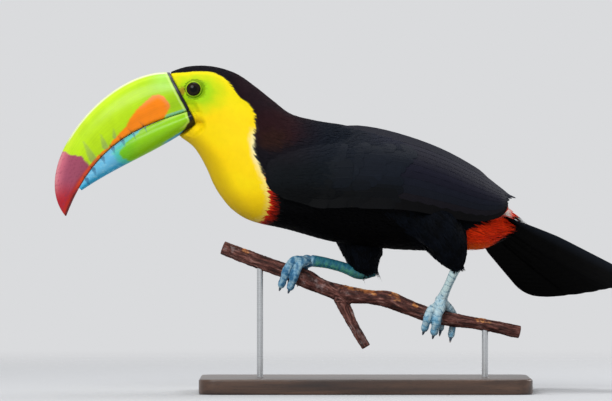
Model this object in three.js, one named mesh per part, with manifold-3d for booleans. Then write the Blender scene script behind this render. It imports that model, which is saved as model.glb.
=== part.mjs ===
// A keel-billed toucan, life size and still, gripping a cut length of branch on a plain display stand.
// Millimetres, +Z up. The bird faces -X, its left side is towards -Y, and its tail swings away towards +Y.
// The origin is the centre of the stand's underside.
import * as THREE from "three";
import { mergeVertices } from "three/addons/utils/BufferGeometryUtils.js";
import Module from "manifold-3d";

const wasm = await Module();
wasm.setup();

// ---------------------------------------------------------------- driving dimensions

const GAP = 0.3; // clearance between neighbouring solids
const FRONT = -1; // sign of Y on the bird's left side
const BACK = 1; // sign of Y on its right side

// How finely each kind of piece is faceted: steps along it and sides round it or across it.
const FACETS = {
  body: { steps: 2, sides: 20 }, // steps between two stations
  bill: { steps: 14, sides: 14 },
  eye: { steps: 8, sides: 12 },
  wing: { steps: 16, sides: 6 },
  tail: { steps: 4, sides: 2 }, // sides of one feather
  thigh: { steps: 7, sides: 12 },
  shank: { steps: 8, sides: 9 },
  foot: { steps: 6, sides: 9 },
  toe: { steps: 9, sides: 7 },
  claw: { steps: 4, sides: 6 },
  branch: { steps: 25, sides: 8 },
  twig: { steps: 5, sides: 8 },
  rod: { sides: 10 },
  base: { sides: 3 }, // sides of a quarter of a rounded corner
};

// Outline of head, neck, trunk and rump in the bird's middle plane: each station joins a point of the
// crown or back to a point of the throat or belly, both [x, z], and has the body's half width there.
const BODY = [
  { at: "lores", top: [-156, 256], low: [-149, 205], half: 12.5 },
  { at: "eye", top: [-141, 260.5], low: [-138, 197], half: 19.5 },
  { at: "crown", top: [-122, 260.5], low: [-131.5, 188], half: 21.5 },
  { at: "occiput", top: [-103.5, 255], low: [-126, 177.5], half: 22.5 },
  { at: "nape", top: [-88.5, 245], low: [-121, 166], half: 24.5 },
  { at: "hindneck", top: [-74, 233.5], low: [-114.5, 155.5], half: 27.5 },
  { at: "mantle", top: [-59, 222.5], low: [-105, 145], half: 31 },
  { at: "shoulder", top: [-38, 217], low: [-90, 136.5], half: 34 },
  { at: "breast", top: [-14, 213], low: [-62, 130], half: 35.5 },
  { at: "back", top: [13, 205], low: [-27, 120.5], half: 35.5 },
  { at: "belly", top: [41, 197], low: [13, 115], half: 34 },
  { at: "flank", top: [68, 185], low: [49, 113], half: 30.5 },
  { at: "vent", top: [91, 168.5], low: [76, 113.5], half: 25 },
  { at: "coverts", top: [109.5, 153], low: [93, 114], half: 18.5 },
  { at: "tail root", top: [120, 143.5], low: [105, 118.5], half: 11 },
];
const HEAD_ENDS = 3; // station numbers at which one part of the body gives way to the next
const NECK_ENDS = 6.5;
const TRUNK_ENDS = 11.6;

// From BEND_FROM rearwards the middle plane curves towards +Y, by BEND times the squared distance.
const BEND_FROM = -20;
const BEND = 0.00098;

const EYE = { x: -136.8, z: 242, depth: 12.7, radius: 7.2 };

// The bill in the middle plane: Bezier control points [x, z] of its ridge, its closed edge and its underside.
const BILL = {
  culmen: [[-156.3, 255.6], [-206.4, 259.5], [-272.7, 179.4], [-239.2, 140.2]],
  tomium: [[-140, 225.2], [-179.8, 212.9], [-216.6, 200.5], [-239.2, 140.2]],
  underside: [[-135.2, 214.4], [-163.9, 192.9], [-195.9, 182.5], [-227, 161]],
  halfWidths: [15.6, 15.2, 13.8, 12, 9.8, 7.4, 4.6, 0.9],
  lowerShare: 0.86, // how far along the closed edge the lower half reaches
  end: 0.995, // how far along the lines the last ring lies
  narrowing: 0.34, // share by which the ridge and the underside are narrower than the closed edge
  flatness: 0.62, // power that flattens the sides: 1 would give round ones
};

// The folded wing: its upper edge, near the spine, and its lower edge, on the flank, as [x, half width, z],
// and how far it bulges between them.
const WING = [
  { upper: [-83, 28, 184], lower: [-82, 30, 176], bulge: 1 },
  { upper: [-74, 24.5, 199], lower: [-76, 33, 164], bulge: 4 },
  { upper: [-55, 18, 208.5], lower: [-62, 35.5, 155], bulge: 8.5 },
  { upper: [-26, 11.5, 212.5], lower: [-38, 37, 149.5], bulge: 12.5 },
  { upper: [4, 6, 210.5], lower: [-6, 38, 149], bulge: 14.5 },
  { upper: [34, 4.5, 203.3], lower: [32, 37.5, 147.5], bulge: 15 },
  { upper: [63, 4.5, 192.5], lower: [64, 35, 141.5], bulge: 13.5 },
  { upper: [89, 5.5, 178.5], lower: [90, 29.5, 137.5], bulge: 10.5 },
  { upper: [107, 8, 165.3], lower: [107, 23, 140.5], bulge: 6.5 },
  { upper: [115.5, 11.5, 158.5], lower: [116, 18, 147.5], bulge: 2 },
];
const WING_THICKNESS = 5;

// The fanned tail: where its plane starts, how it is turned, and the size of its ten feathers.
const TAIL = {
  root: [86, 149],
  away: 28.8, // degrees that the fan turns towards +Y
  droop: 32.8, // degrees that it falls below the horizontal
  twist: 8.6, // degrees that its left edge is raised
  halfSpread: 22, // degrees from the middle to an outer feather
  length: 148,
  rounding: 0.1, // share by which the outer feathers are shorter
  uneven: 0.04, // share by which the left outer feather reaches farther than the right one
  arch: 14, // rise of the middle feathers' tips over the outer ones
  rootHalf: 14,
  vane: 13.6, // half width of an outer feather
  feathers: 10,
  scallop: 2.6, // how deep the gaps between the feathers' tips are
  corner: 5, // how much the fan's two outer corners are cut back
  fullVane: 0.42, // share of the length where the outer feathers reach their full width
  thickness: 3.2,
};

// Branch: its middle line [x, y, z] and radius.
const BRANCH = [
  { at: [-114, 2, 115.5], radius: 5.5 },
  { at: [-86, 0.5, 104.8], radius: 5.8 },
  { at: [-66, 0, 97.6], radius: 6 },
  { at: [-47, 0.6, 90.4], radius: 7.3 },
  { at: [-33, 0.8, 83.6], radius: 6.1 },
  { at: [-15, 0.4, 78.2], radius: 6.8 },
  { at: [4, 0, 76], radius: 5.6 },
  { at: [18, -0.6, 74.1], radius: 6.7 },
  { at: [35, -0.4, 67.6], radius: 6.2 },
  { at: [51, 0, 61.8], radius: 5.8 },
  { at: [71, 0.6, 57.6], radius: 5.4 },
  { at: [93, 2, 54.2], radius: 4.7 },
  { at: [124, 5.2, 47.8], radius: 5.1 },
];
const TWIG = [
  { at: [-20, 0.4, 76], radius: 5.4 },
  { at: [-14, -0.6, 63], radius: 4.4 },
  { at: [-8, -1.6, 51], radius: 3.9 },
  { at: [1, -2.2, 36], radius: 3.7 },
];

// Each leg: the middle lines of its feathered thigh and bare shank, [x, y, z], with their radii, the middle
// of the foot, and its toes. A toe goes down the side of the branch given by way, to a place along the
// branch from the foot's middle, so many degrees round it, and then reaches straight on. Over the top of
// the branch it is raised by the foot's arch, between the two angles of over.
const LEGS = {
  right: {
    thigh: {
      line: [[-4, 15, 125], [0, 15, 112], [3, 14, 102.5], [5.5, 13.5, 97.4]],
      radii: [19, 17.3, 13.8, 8],
    },
    shank: {
      line: [[8, 13.5, 96.8], [-4, 12.8, 94.7], [-17, 10.5, 99.4], [-31, 7, 103.2], [-43, 4.2, 105]],
      radii: [4.7, 4.9, 4.4, 4.4, 4.9],
    },
    foot: [-46.5, 3.5, 105.6],
    arch: 2.6,
    over: [14, 40],
    toes: [
      { toe: 3, way: FRONT, to: -17.6, round: 115, reach: 11, radius: 3.1 },
      { toe: 2, way: FRONT, to: -10.2, round: 115, reach: 10, radius: 3.1 },
      { toe: 4, way: BACK, to: -13, round: 98, reach: 3, radius: 2.8 },
      { toe: 1, way: BACK, to: -5, round: 96, reach: 2, radius: 2.5 },
    ],
  },
  left: {
    thigh: {
      line: [[60, -17, 131], [67.5, -18, 114], [71, -18, 105], [73.5, -18, 99.6]],
      radii: [19, 16.8, 14.6, 9],
    },
    shank: {
      line: [[74.5, -18, 104], [71, -15.6, 96.3], [66.5, -10.4, 86], [62, -4.8, 75.8]],
      radii: [4.2, 3.8, 3.5, 4.2],
    },
    foot: [61, -3.4, 73.9],
    arch: 0.4,
    over: [30, 60],
    toes: [
      { toe: 2, way: FRONT, to: -10.6, round: 115, reach: 11, radius: 3.1 },
      { toe: 3, way: FRONT, to: -3.2, round: 114, reach: 12.4, radius: 3.25 },
      { toe: 4, way: BACK, to: 10.4, round: 110, reach: 13, radius: 2.8 },
      { toe: 1, way: BACK, to: 1.5, round: 106, reach: 9, radius: 2.5 },
    ],
  },
};
const SHANK_FLATTEN = 0.84; // breadth of a shank over its depth
const FOOT = { radius: 4.9, shape: [1.1, 1.05, 0.9] };
const TOE = { taper: [1.1, 1, 0.98, 0.88], clearance: 0.55 };
const CLAW = { length: 10, radius: 1.8, tip: 0.14, curl: 75 };

const STAND = { length: 264, depth: 150, height: 12, corner: 14, bevel: 1.2 };
const RODS = [
  { name: "stand_rod_front", x: -84, radius: 2.5 },
  { name: "stand_rod_rear", x: 96, radius: 2.5 },
];
const ROD_SOCKET = 6; // how deep each rod sits in the base
const ROD_IN_BRANCH = 1.5; // how far its end passes the branch's middle line downwards

// ---------------------------------------------------------------- small helpers

const vec = (p) => new THREE.Vector3(...p);
const mix = (a, b, t) => a + (b - a) * t;
const bend = (x) => BEND * Math.max(0, x - BEND_FROM) ** 2;

// A smooth curve through points [x, y, z].
const curveOf = (points) => new THREE.CatmullRomCurve3(points.map(vec), false, "catmullrom", 0.5);

// A smooth value through evenly spaced numbers.
function valueAt(values, t) {
  const line = new THREE.SplineCurve(values.map((v, i) => new THREE.Vector2(i, v)));
  return line.getPoint(THREE.MathUtils.clamp(t, 0, 1)).y;
}

function solidOf(vertices, triangles) {
  let volume = 0;
  for (const [a, b, c] of triangles)
    volume += vertices[a].dot(new THREE.Vector3().crossVectors(vertices[b], vertices[c]));
  const outward = volume < 0 ? triangles.map(([a, b, c]) => [a, c, b]) : triangles;
  return new wasm.Manifold(
    new wasm.Mesh({
      numProp: 3,
      vertProperties: new Float32Array(vertices.flatMap((v) => v.toArray())),
      triVerts: new Uint32Array(outward.flat()),
    }),
  );
}

// Joins closed rings of equal counts into a skin and closes its two ends with fans.
function loft(rings) {
  const sides = rings[0].length;
  const vertices = rings.flat();
  const triangles = [];
  for (let i = 0; i + 1 < rings.length; i++)
    for (let j = 0; j < sides; j++) {
      const a = i * sides + j;
      const b = i * sides + ((j + 1) % sides);
      triangles.push([a, b, b + sides], [a, b + sides, a + sides]);
    }
  for (const [ring, first] of [[0, true], [rings.length - 1, false]]) {
    const middle = rings[ring].reduce((sum, p) => sum.add(p), new THREE.Vector3()).divideScalar(sides);
    const hub = vertices.push(middle) - 1;
    for (let j = 0; j < sides; j++) {
      const a = ring * sides + j;
      const b = ring * sides + ((j + 1) % sides);
      triangles.push(first ? [hub, b, a] : [hub, a, b]);
    }
  }
  return solidOf(vertices, triangles);
}

// A solid from a closed three.js geometry.
function solidFrom(geometry) {
  geometry.deleteAttribute("normal");
  geometry.deleteAttribute("uv");
  const merged = mergeVertices(geometry, 1e-4);
  const p = merged.getAttribute("position");
  const vertices = Array.from({ length: p.count }, (_, i) => new THREE.Vector3().fromBufferAttribute(p, i));
  const index = Array.from(merged.index.array);
  const triangles = [];
  for (let i = 0; i < index.length; i += 3) triangles.push(index.slice(i, i + 3));
  return solidOf(vertices, triangles);
}

const union = (solids) => solids.reduce((whole, s) => whole.add(s));

// Takes the neighbours out of a solid and keeps its largest body.
function carve(solid, ...neighbours) {
  const cut = neighbours.reduce((left, n) => left.subtract(n), solid);
  return cut.decompose().reduce((best, s) => (s.volume() > best.volume() ? s : best));
}

// A round tube along a curve, its radius a function of the way along it.
function tube(curve, radiusAt, { steps, sides, flatten = 1, grow = 0 }) {
  const frames = curve.computeFrenetFrames(steps, false);
  const rings = [];
  for (let i = 0; i <= steps; i++) {
    const middle = curve.getPointAt(i / steps);
    const ends = (i === 0 ? -grow : 0) + (i === steps ? grow : 0);
    middle.addScaledVector(frames.tangents[i], ends);
    const r = radiusAt(i / steps) + grow;
    rings.push(
      Array.from({ length: sides }, (_, j) => {
        const angle = (2 * Math.PI * j) / sides;
        return middle
          .clone()
          .addScaledVector(frames.normals[i], r * Math.cos(angle))
          .addScaledVector(frames.binormals[i], r * flatten * Math.sin(angle));
      }),
    );
  }
  return loft(rings);
}

// ---------------------------------------------------------------- head, neck, trunk and rump

const topLine = curveOf(BODY.map((s) => [s.top[0], s.half, s.top[1]]));
const lowLine = curveOf(BODY.map((s) => [s.low[0], s.half, s.low[1]]));

// The body's ring at a station number: an oval between the back and belly points.
function bodyRing(station, grow = 0, shift = 0) {
  const t = station / (BODY.length - 1);
  const top = topLine.getPoint(t);
  const low = lowLine.getPoint(t);
  const half = top.y + grow;
  const middle = new THREE.Vector2((top.x + low.x) / 2, (top.z + low.z) / 2);
  const up = new THREE.Vector2((top.x - low.x) / 2, (top.z - low.z) / 2);
  up.setLength(up.length() + grow);
  const along = new THREE.Vector2(up.y, -up.x).normalize().multiplyScalar(shift);
  return Array.from({ length: FACETS.body.sides }, (_, j) => {
    const angle = (2 * Math.PI * j) / FACETS.body.sides;
    const x = middle.x + along.x + up.x * Math.cos(angle);
    const z = middle.y + along.y + up.y * Math.cos(angle);
    return new THREE.Vector3(x, half * Math.sin(angle) + bend(x), z);
  });
}

function bodyPart(from, to, { grow = 0, open = 0 } = {}) {
  const steps = Math.round((to - from) * FACETS.body.steps);
  const rings = Array.from({ length: steps + 1 }, (_, i) => {
    const shift = i === 0 ? open - grow : i === steps ? grow : 0;
    return bodyRing(mix(from, to, i / steps), grow, shift);
  });
  return loft(rings);
}

const lastStation = BODY.length - 1;
const neck = bodyPart(HEAD_ENDS, NECK_ENDS, { open: GAP });
const trunk = bodyPart(NECK_ENDS, TRUNK_ENDS, { open: GAP });
const rump = bodyPart(TRUNK_ENDS, lastStation, { open: GAP });
const wholeBodyGrown = bodyPart(0, lastStation, { grow: GAP });

// ---------------------------------------------------------------- bill and eyes

const bezier = (c) => new THREE.CubicBezierCurve(...c.map((p) => new THREE.Vector2(...p)));
const culmen = bezier(BILL.culmen);
const tomium = bezier(BILL.tomium);
const underside = bezier(BILL.underside);

// One half of the bill: rings between an upper and a lower line, with nearly flat sides. It is narrower
// away from the closed edge, so that the ridge and the underside are rounded.
function billHalf(upperLine, lowerLine, { share, grow = 0, edgeAtBottom, drop = 0 }) {
  const { steps, sides } = FACETS.bill;
  const rings = [];
  for (let i = 0; i <= steps; i++) {
    const t = BILL.end * (i / steps);
    const top = upperLine(t);
    const low = lowerLine(t);
    low.y -= grow;
    top.y += grow - drop;
    const half = valueAt(BILL.halfWidths, t * share) + grow;
    const backwards = i === 0 ? grow : 0;
    rings.push(
      Array.from({ length: sides }, (_, j) => {
        const angle = (2 * Math.PI * j) / sides;
        const height = 0.5 + 0.5 * Math.cos(angle); // 1 at the upper line
        const fromEdge = edgeAtBottom ? height : 1 - height;
        const narrowing = 1 - BILL.narrowing * fromEdge ** 3;
        const squared = Math.sign(Math.sin(angle)) * Math.abs(Math.sin(angle)) ** BILL.flatness;
        const p = new THREE.Vector2().lerpVectors(low, top, height);
        return new THREE.Vector3(p.x + backwards, half * narrowing * squared, p.y);
      }),
    );
  }
  return loft(rings);
}

const billUpper = (grow = 0) =>
  billHalf((t) => culmen.getPoint(t), (t) => tomium.getPoint(t), { share: 1, grow, edgeAtBottom: true });
const billLower = (grow = 0) =>
  billHalf(
    (t) => tomium.getPoint(t * BILL.lowerShare),
    (t) => underside.getPoint(t),
    { share: BILL.lowerShare, grow, edgeAtBottom: false, drop: GAP },
  );

function eye(side, grow = 0) {
  const ball = new THREE.SphereGeometry(EYE.radius + grow, FACETS.eye.sides, FACETS.eye.steps);
  ball.translate(EYE.x, side * EYE.depth, EYE.z);
  return solidFrom(ball);
}

const lowerHalf = carve(billLower(), billUpper(GAP));
const head = carve(
  bodyPart(0, HEAD_ENDS),
  billUpper(GAP),
  billLower(GAP),
  eye(FRONT, GAP),
  eye(BACK, GAP),
);

// ---------------------------------------------------------------- wings and tail

const wingUpper = curveOf(WING.map((s) => s.upper));
const wingLower = curveOf(WING.map((s) => s.lower));

function wing(side) {
  const { steps, sides: across } = FACETS.wing;
  const rings = [];
  for (let i = 0; i <= steps; i++) {
    const t = i / steps;
    const top = wingUpper.getPoint(t);
    const low = wingLower.getPoint(t);
    const bulge = valueAt(WING.map((s) => s.bulge), t);
    const outward = new THREE.Vector3(0, top.z - low.z, low.y - top.y).normalize();
    const outer = [];
    const inner = [];
    for (let j = 0; j <= across; j++) {
      const s = j / across;
      const p = new THREE.Vector3().lerpVectors(top, low, s);
      p.addScaledVector(outward, bulge * Math.sin(Math.PI * s));
      outer.push(p);
      const depth = WING_THICKNESS * (0.35 + 0.65 * Math.sin(Math.PI * s));
      if (j > 0 && j < across) inner.unshift(p.clone().addScaledVector(outward, -depth));
    }
    rings.push([...outer, ...inner].map((p) => new THREE.Vector3(p.x, side * p.y + bend(p.x), p.z)));
  }
  return loft(rings);
}

function tail() {
  const away = THREE.MathUtils.degToRad(TAIL.away);
  const droop = THREE.MathUtils.degToRad(TAIL.droop);
  const spread = THREE.MathUtils.degToRad(TAIL.halfSpread);
  const axis = new THREE.Vector3(
    Math.cos(away) * Math.cos(droop),
    Math.sin(away) * Math.cos(droop),
    -Math.sin(droop),
  );
  const twist = THREE.MathUtils.degToRad(-TAIL.twist);
  const toLeft = new THREE.Vector3(Math.sin(away), -Math.cos(away), 0).applyAxisAngle(axis, twist);
  const up = new THREE.Vector3().crossVectors(toLeft, axis);
  const root = new THREE.Vector3(TAIL.root[0], bend(TAIL.root[0]), TAIL.root[1]);
  const columns = FACETS.tail.sides * TAIL.feathers;
  const rows = FACETS.tail.steps;
  const rings = [];
  for (let i = 0; i <= columns; i++) {
    const c = (2 * i) / columns - 1; // -1 at the right edge of the fan, 1 at the left
    const angle = c * spread;
    const lobe = Math.abs(Math.sin((Math.PI * TAIL.feathers * (c + 1)) / 2));
    const corner = Math.max(0, (Math.abs(c) - 0.9) / 0.1) ** 2;
    const share = 1 - TAIL.rounding * c * c + TAIL.uneven * c ** 3;
    const reach = TAIL.length * share - TAIL.scallop * (1 - lobe) - TAIL.corner * corner;
    const over = [];
    const under = [];
    for (let j = 0; j <= rows; j++) {
      const r = (reach * j) / rows;
      const out = r / TAIL.length;
      const vane = TAIL.vane * Math.min(1, out / TAIL.fullVane) * c * Math.abs(c);
      const p = root
        .clone()
        .addScaledVector(axis, r * Math.cos(angle))
        .addScaledVector(toLeft, c * TAIL.rootHalf + r * Math.sin(angle) + vane)
        .addScaledVector(up, TAIL.arch * out ** 2 * (1 - c * c));
      const half = (TAIL.thickness / 2) * (1 - 0.55 * out) * (1 - 0.6 * Math.abs(c) ** 3);
      over.push(p.clone().addScaledVector(up, half));
      under.unshift(p.addScaledVector(up, -half));
    }
    rings.push([...over, ...under]);
  }
  return loft(rings);
}

const fan = carve(tail(), wholeBodyGrown);

// The fan a little thicker, for cutting what lies against it.
const fanShifts = [[0, 0, 0], [0, 0, GAP], [0, 0, -GAP], [-GAP, 0, 0]];
const fanRoom = union(fanShifts.map((shift) => fan.translate(shift)));

// ---------------------------------------------------------------- branch and stand

const branchLine = curveOf(BRANCH.map((s) => s.at));
const branchRadius = (t) => valueAt(BRANCH.map((s) => s.radius), t);
const twigLine = curveOf(TWIG.map((s) => s.at));

function rod({ x, radius }, grow = 0) {
  const s = branchShareAt(x);
  const top = branchLine.getPoint(s).z - ROD_IN_BRANCH;
  const bottom = STAND.height - ROD_SOCKET;
  const wide = radius + grow;
  const body = new THREE.CylinderGeometry(wide, wide, top - bottom + 2 * grow, FACETS.rod.sides);
  body.rotateX(Math.PI / 2);
  body.translate(x, branchLine.getPoint(s).y, (top + bottom) / 2);
  return solidFrom(body);
}

// The branch's curve parameter at a given x.
function branchShareAt(x) {
  let low = 0;
  let high = 1;
  for (let i = 0; i < 40; i++) {
    const middle = (low + high) / 2;
    if (branchLine.getPoint(middle).x < x) low = middle;
    else high = middle;
  }
  return low;
}

function perch(grow = 0) {
  const { steps, sides } = FACETS.branch;
  const rings = [];
  const frames = branchLine.computeFrenetFrames(steps, false);
  for (let i = 0; i <= steps; i++) {
    const t = branchLine.getUtoTmapping(i / steps);
    const middle = branchLine.getPoint(t);
    rings.push(
      Array.from({ length: sides }, (_, j) => {
        const angle = (2 * Math.PI * j) / sides;
        const r = branchRadius(t) + grow;
        return middle
          .clone()
          .addScaledVector(frames.normals[i], r * Math.cos(angle))
          .addScaledVector(frames.binormals[i], r * Math.sin(angle));
      }),
    );
  }
  const twig = tube(twigLine, (t) => valueAt(TWIG.map((s) => s.radius), t), { ...FACETS.twig, grow });
  return loft(rings).add(twig);
}

function base() {
  const x = STAND.length / 2;
  const y = STAND.depth / 2;
  const r = STAND.corner;
  const plan = new THREE.Shape();
  plan.moveTo(-x + r, -y);
  plan.absarc(x - r, -y + r, r, -Math.PI / 2, 0);
  plan.absarc(x - r, y - r, r, 0, Math.PI / 2);
  plan.absarc(-x + r, y - r, r, Math.PI / 2, Math.PI);
  plan.absarc(-x + r, -y + r, r, Math.PI, 1.5 * Math.PI);
  plan.closePath();
  const slab = new THREE.ExtrudeGeometry(plan, {
    depth: STAND.height - 2 * STAND.bevel,
    bevelThickness: STAND.bevel,
    bevelSize: STAND.bevel,
    bevelOffset: -STAND.bevel,
    bevelSegments: 1,
    curveSegments: FACETS.base.sides,
  });
  slab.translate(0, 0, STAND.bevel);
  return solidFrom(slab);
}

const rods = RODS.map((r) => ({ name: r.name, solid: rod(r), room: rod(r, GAP) }));
const perchSolid = carve(perch(), ...rods.map((r) => r.room));
const perchRoom = perch(GAP);
const baseSolid = carve(base(), ...rods.map((r) => r.room));

// ---------------------------------------------------------------- legs

function limb({ line, radii }, { steps, sides, flatten = 1, grow = 0 }) {
  const rounded = (t) => Math.sqrt(1 - 0.5 * Math.max(0, (t - 0.88) / 0.12) ** 2);
  return tube(curveOf(line), (t) => valueAt(radii, t) * rounded(t), { steps, sides, flatten, grow });
}

const thigh = (leg, grow = 0) => limb(leg.thigh, { ...FACETS.thigh, grow });
const shank = (leg, grow = 0) => limb(leg.shank, { ...FACETS.shank, flatten: SHANK_FLATTEN, grow });

function foot({ foot: at }, grow = 0) {
  const ball = new THREE.SphereGeometry(FOOT.radius + grow, FACETS.foot.sides, FACETS.foot.steps);
  ball.scale(...FOOT.shape);
  ball.translate(...at);
  return solidFrom(ball);
}

// The line of a toe: out of the foot's middle, round the branch, and on past it.
function toeLine({ foot: at, arch, over }, { way, to, round, reach, radius }) {
  const start = shareOfLength(branchShareAt(at[0]));
  const length = branchLine.getLength();
  const sideways = new THREE.Vector3(0, way, 0);
  const wrap = (offset, degrees, { out = 0, lift = 0 } = {}) => {
    const t = branchLine.getUtoTmapping(start + offset / length);
    const across = new THREE.Vector3(0, 1, 0);
    const up = across.cross(branchLine.getTangent(t)).negate().normalize();
    const angle = THREE.MathUtils.degToRad(degrees);
    const distance = branchRadius(t) + radius + TOE.clearance + lift;
    return branchLine
      .getPoint(t)
      .addScaledVector(sideways, distance * Math.sin(angle) + out * Math.cos(angle))
      .addScaledVector(up, distance * Math.cos(angle) - out * Math.sin(angle));
  };
  const points = [
    new THREE.Vector3(at[0] + 0.1 * to, at[1] + way * 1.5, at[2] - 0.5),
    wrap(0.55 * to, over[0], { lift: arch }),
    wrap(0.88 * to, over[1], { lift: arch }),
    wrap(to, 78, { lift: 0.3 * arch }),
    wrap(to, round),
    wrap(to, round, { out: reach }),
  ];
  return new THREE.CatmullRomCurve3(points, false, "catmullrom", 0.5);
}

// The share of the branch's length that lies before a curve parameter.
function shareOfLength(t) {
  const steps = 200;
  let before = 0;
  let whole = 0;
  for (let i = 0; i < steps; i++) {
    const d = branchLine.getPoint(i / steps).distanceTo(branchLine.getPoint((i + 1) / steps));
    whole += d;
    if ((i + 0.5) / steps < t) before += d;
  }
  return before / whole;
}

function toe(leg, spec, grow = 0) {
  const rounded = (t) => Math.sqrt(Math.max(0.05, 1 - Math.max(0, (t - 0.88) / 0.125) ** 2));
  const radius = (t) => valueAt(TOE.taper, t) * spec.radius * rounded(t);
  return tube(toeLine(leg, spec), radius, { ...FACETS.toe, grow });
}

// A claw curls on from the toe's end, back under the branch.
function claw(leg, spec) {
  const line = toeLine(leg, spec);
  const start = line.getPointAt(0.94);
  const along = line.getTangentAt(1);
  const inward = new THREE.Vector3(0, -spec.way, 0).addScaledVector(along, spec.way * along.y).normalize();
  const turn = THREE.MathUtils.degToRad(CLAW.curl);
  const radius = CLAW.length / turn;
  const points = [0, 0.25, 0.5, 0.75, 1].map((s) =>
    start
      .clone()
      .addScaledVector(along, radius * Math.sin(turn * s))
      .addScaledVector(inward, radius * (1 - Math.cos(turn * s))),
  );
  const curve = new THREE.CatmullRomCurve3(points);
  return tube(curve, (t) => CLAW.radius * mix(1, CLAW.tip, t), FACETS.claw);
}

function leg(side, spec) {
  const thighSolid = carve(thigh(spec), wholeBodyGrown);
  const shankSolid = carve(shank(spec), thigh(spec, GAP), wholeBodyGrown);
  const footSolid = carve(foot(spec), shank(spec, GAP), perchRoom);
  const parts = [
    [`thigh_${side}`, thighSolid],
    [`shank_${side}`, shankSolid],
    [`foot_${side}`, footSolid],
  ];
  const taken = [foot(spec, GAP), shank(spec, GAP)];
  for (const t of spec.toes) {
    parts.push([`toe_${side}_${t.toe}`, carve(toe(spec, t), perchRoom, ...taken)]);
    taken.push(toe(spec, t, GAP));
  }
  for (const t of spec.toes)
    parts.push([`claw_${side}_${t.toe}`, carve(claw(spec, t), perchRoom, ...taken)]);
  return { parts, room: [thigh(spec, GAP), shank(spec, GAP)] };
}

const legs = Object.entries(LEGS).map(([side, spec]) => leg(side, spec));
const legRoom = legs.flatMap((l) => l.room);
const wingOf = (side) => carve(wing(side), wholeBodyGrown, fanRoom, ...legRoom);

// ---------------------------------------------------------------- materials and assembly

const finish = (color, roughness, metalness = 0) =>
  new THREE.MeshStandardMaterial({ color, roughness, metalness, flatShading: true });
const FINISHES = {
  black: finish(0x14151a, 0.75),
  bib: finish(0xf2d90b, 0.7),
  rump: finish(0xc81e08, 0.75),
  billGreen: finish(0xb4e01c, 0.35),
  billLower: finish(0x7fc21a, 0.35),
  eye: finish(0x0c0d0e, 0.08),
  leg: finish(0x7fb6c4, 0.5),
  claw: finish(0x55606a, 0.4),
  bark: finish(0x5a3a30, 0.9),
  base: finish(0x2f2b28, 0.5),
  steel: finish(0x9a9da0, 0.35, 1),
};

function meshOf(name, solid, material) {
  const { numProp, numVert, vertProperties, triVerts } = solid.getMesh();
  const places = new Float32Array(numVert * 3);
  for (let i = 0; i < numVert; i++) places.set(vertProperties.subarray(i * numProp, i * numProp + 3), i * 3);
  const geometry = new THREE.BufferGeometry();
  geometry.setAttribute("position", new THREE.BufferAttribute(places, 3));
  geometry.setIndex(new THREE.BufferAttribute(new Uint32Array(triVerts), 1));
  const mesh = new THREE.Mesh(geometry, material);
  mesh.name = name;
  return mesh;
}

const legFinish = (name) => {
  if (name.startsWith("thigh")) return FINISHES.black;
  return name.startsWith("claw") ? FINISHES.claw : FINISHES.leg;
};

const toucan = new THREE.Group();
toucan.add(
  meshOf("head", head, FINISHES.bib),
  meshOf("neck", neck, FINISHES.bib),
  meshOf("trunk", trunk, FINISHES.black),
  meshOf("rump", rump, FINISHES.rump),
  meshOf("bill_upper", billUpper(), FINISHES.billGreen),
  meshOf("bill_lower", lowerHalf, FINISHES.billLower),
  meshOf("eye_left", eye(FRONT), FINISHES.eye),
  meshOf("eye_right", eye(BACK), FINISHES.eye),
  meshOf("wing_left", wingOf(FRONT), FINISHES.black),
  meshOf("wing_right", wingOf(BACK), FINISHES.black),
  meshOf("tail", fan, FINISHES.black),
  ...legs.flatMap((l) => l.parts.map(([name, solid]) => meshOf(name, solid, legFinish(name)))),
  meshOf("perch_branch", perchSolid, FINISHES.bark),
  meshOf("stand_base", baseSolid, FINISHES.base),
  ...rods.map((r) => meshOf(r.name, r.solid, FINISHES.steel)),
);

export default toucan;
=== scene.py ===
"""Looks of a life-size keel-billed toucan that grips a cut branch over a plain display stand.

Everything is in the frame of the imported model: +Z up, the bird faces -X and its left side is towards -Y.
The shapes are worked out in millimetres and become metres where a mesh is made.
"""

import logging
import math
from dataclasses import dataclass, field, fields
from enum import Enum

import bmesh
import bpy
import numpy as np
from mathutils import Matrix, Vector
from mathutils.bvhtree import BVHTree

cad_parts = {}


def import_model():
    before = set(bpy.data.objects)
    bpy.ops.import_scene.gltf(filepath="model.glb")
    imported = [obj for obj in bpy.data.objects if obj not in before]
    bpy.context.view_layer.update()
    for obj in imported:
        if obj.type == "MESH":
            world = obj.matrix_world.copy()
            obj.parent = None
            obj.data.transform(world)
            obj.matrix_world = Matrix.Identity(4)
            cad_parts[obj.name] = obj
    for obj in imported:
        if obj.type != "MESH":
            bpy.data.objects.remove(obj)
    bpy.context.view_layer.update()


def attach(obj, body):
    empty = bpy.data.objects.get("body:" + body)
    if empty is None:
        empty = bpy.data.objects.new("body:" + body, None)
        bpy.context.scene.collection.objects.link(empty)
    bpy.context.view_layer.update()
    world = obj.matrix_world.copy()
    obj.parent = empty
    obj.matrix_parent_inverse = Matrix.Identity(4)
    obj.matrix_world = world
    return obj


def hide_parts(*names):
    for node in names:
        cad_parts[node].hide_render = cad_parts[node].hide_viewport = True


MM = 0.001
LOG = logging.getLogger("toucan")
Array = np.ndarray
Numbers = tuple[float, ...]
Line = tuple[tuple[float, float], ...]
Path = tuple[tuple[float, float, float], ...]
Stops = tuple[tuple[float, str], ...]
Shell = tuple[Array, list[Array]]
Piece = bpy.types.Object
Material = bpy.types.Material
Tree = bpy.types.NodeTree
Socket = bpy.types.NodeSocket


class Side(Enum):
    """The bird's two sides, as the sign of Y."""

    LEFT = -1
    RIGHT = 1

    def label(self) -> str:
        """The side as the pieces' names have it."""
        return self.name.lower()


# ------------------------------------------------------------------ numbers and lines


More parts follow.
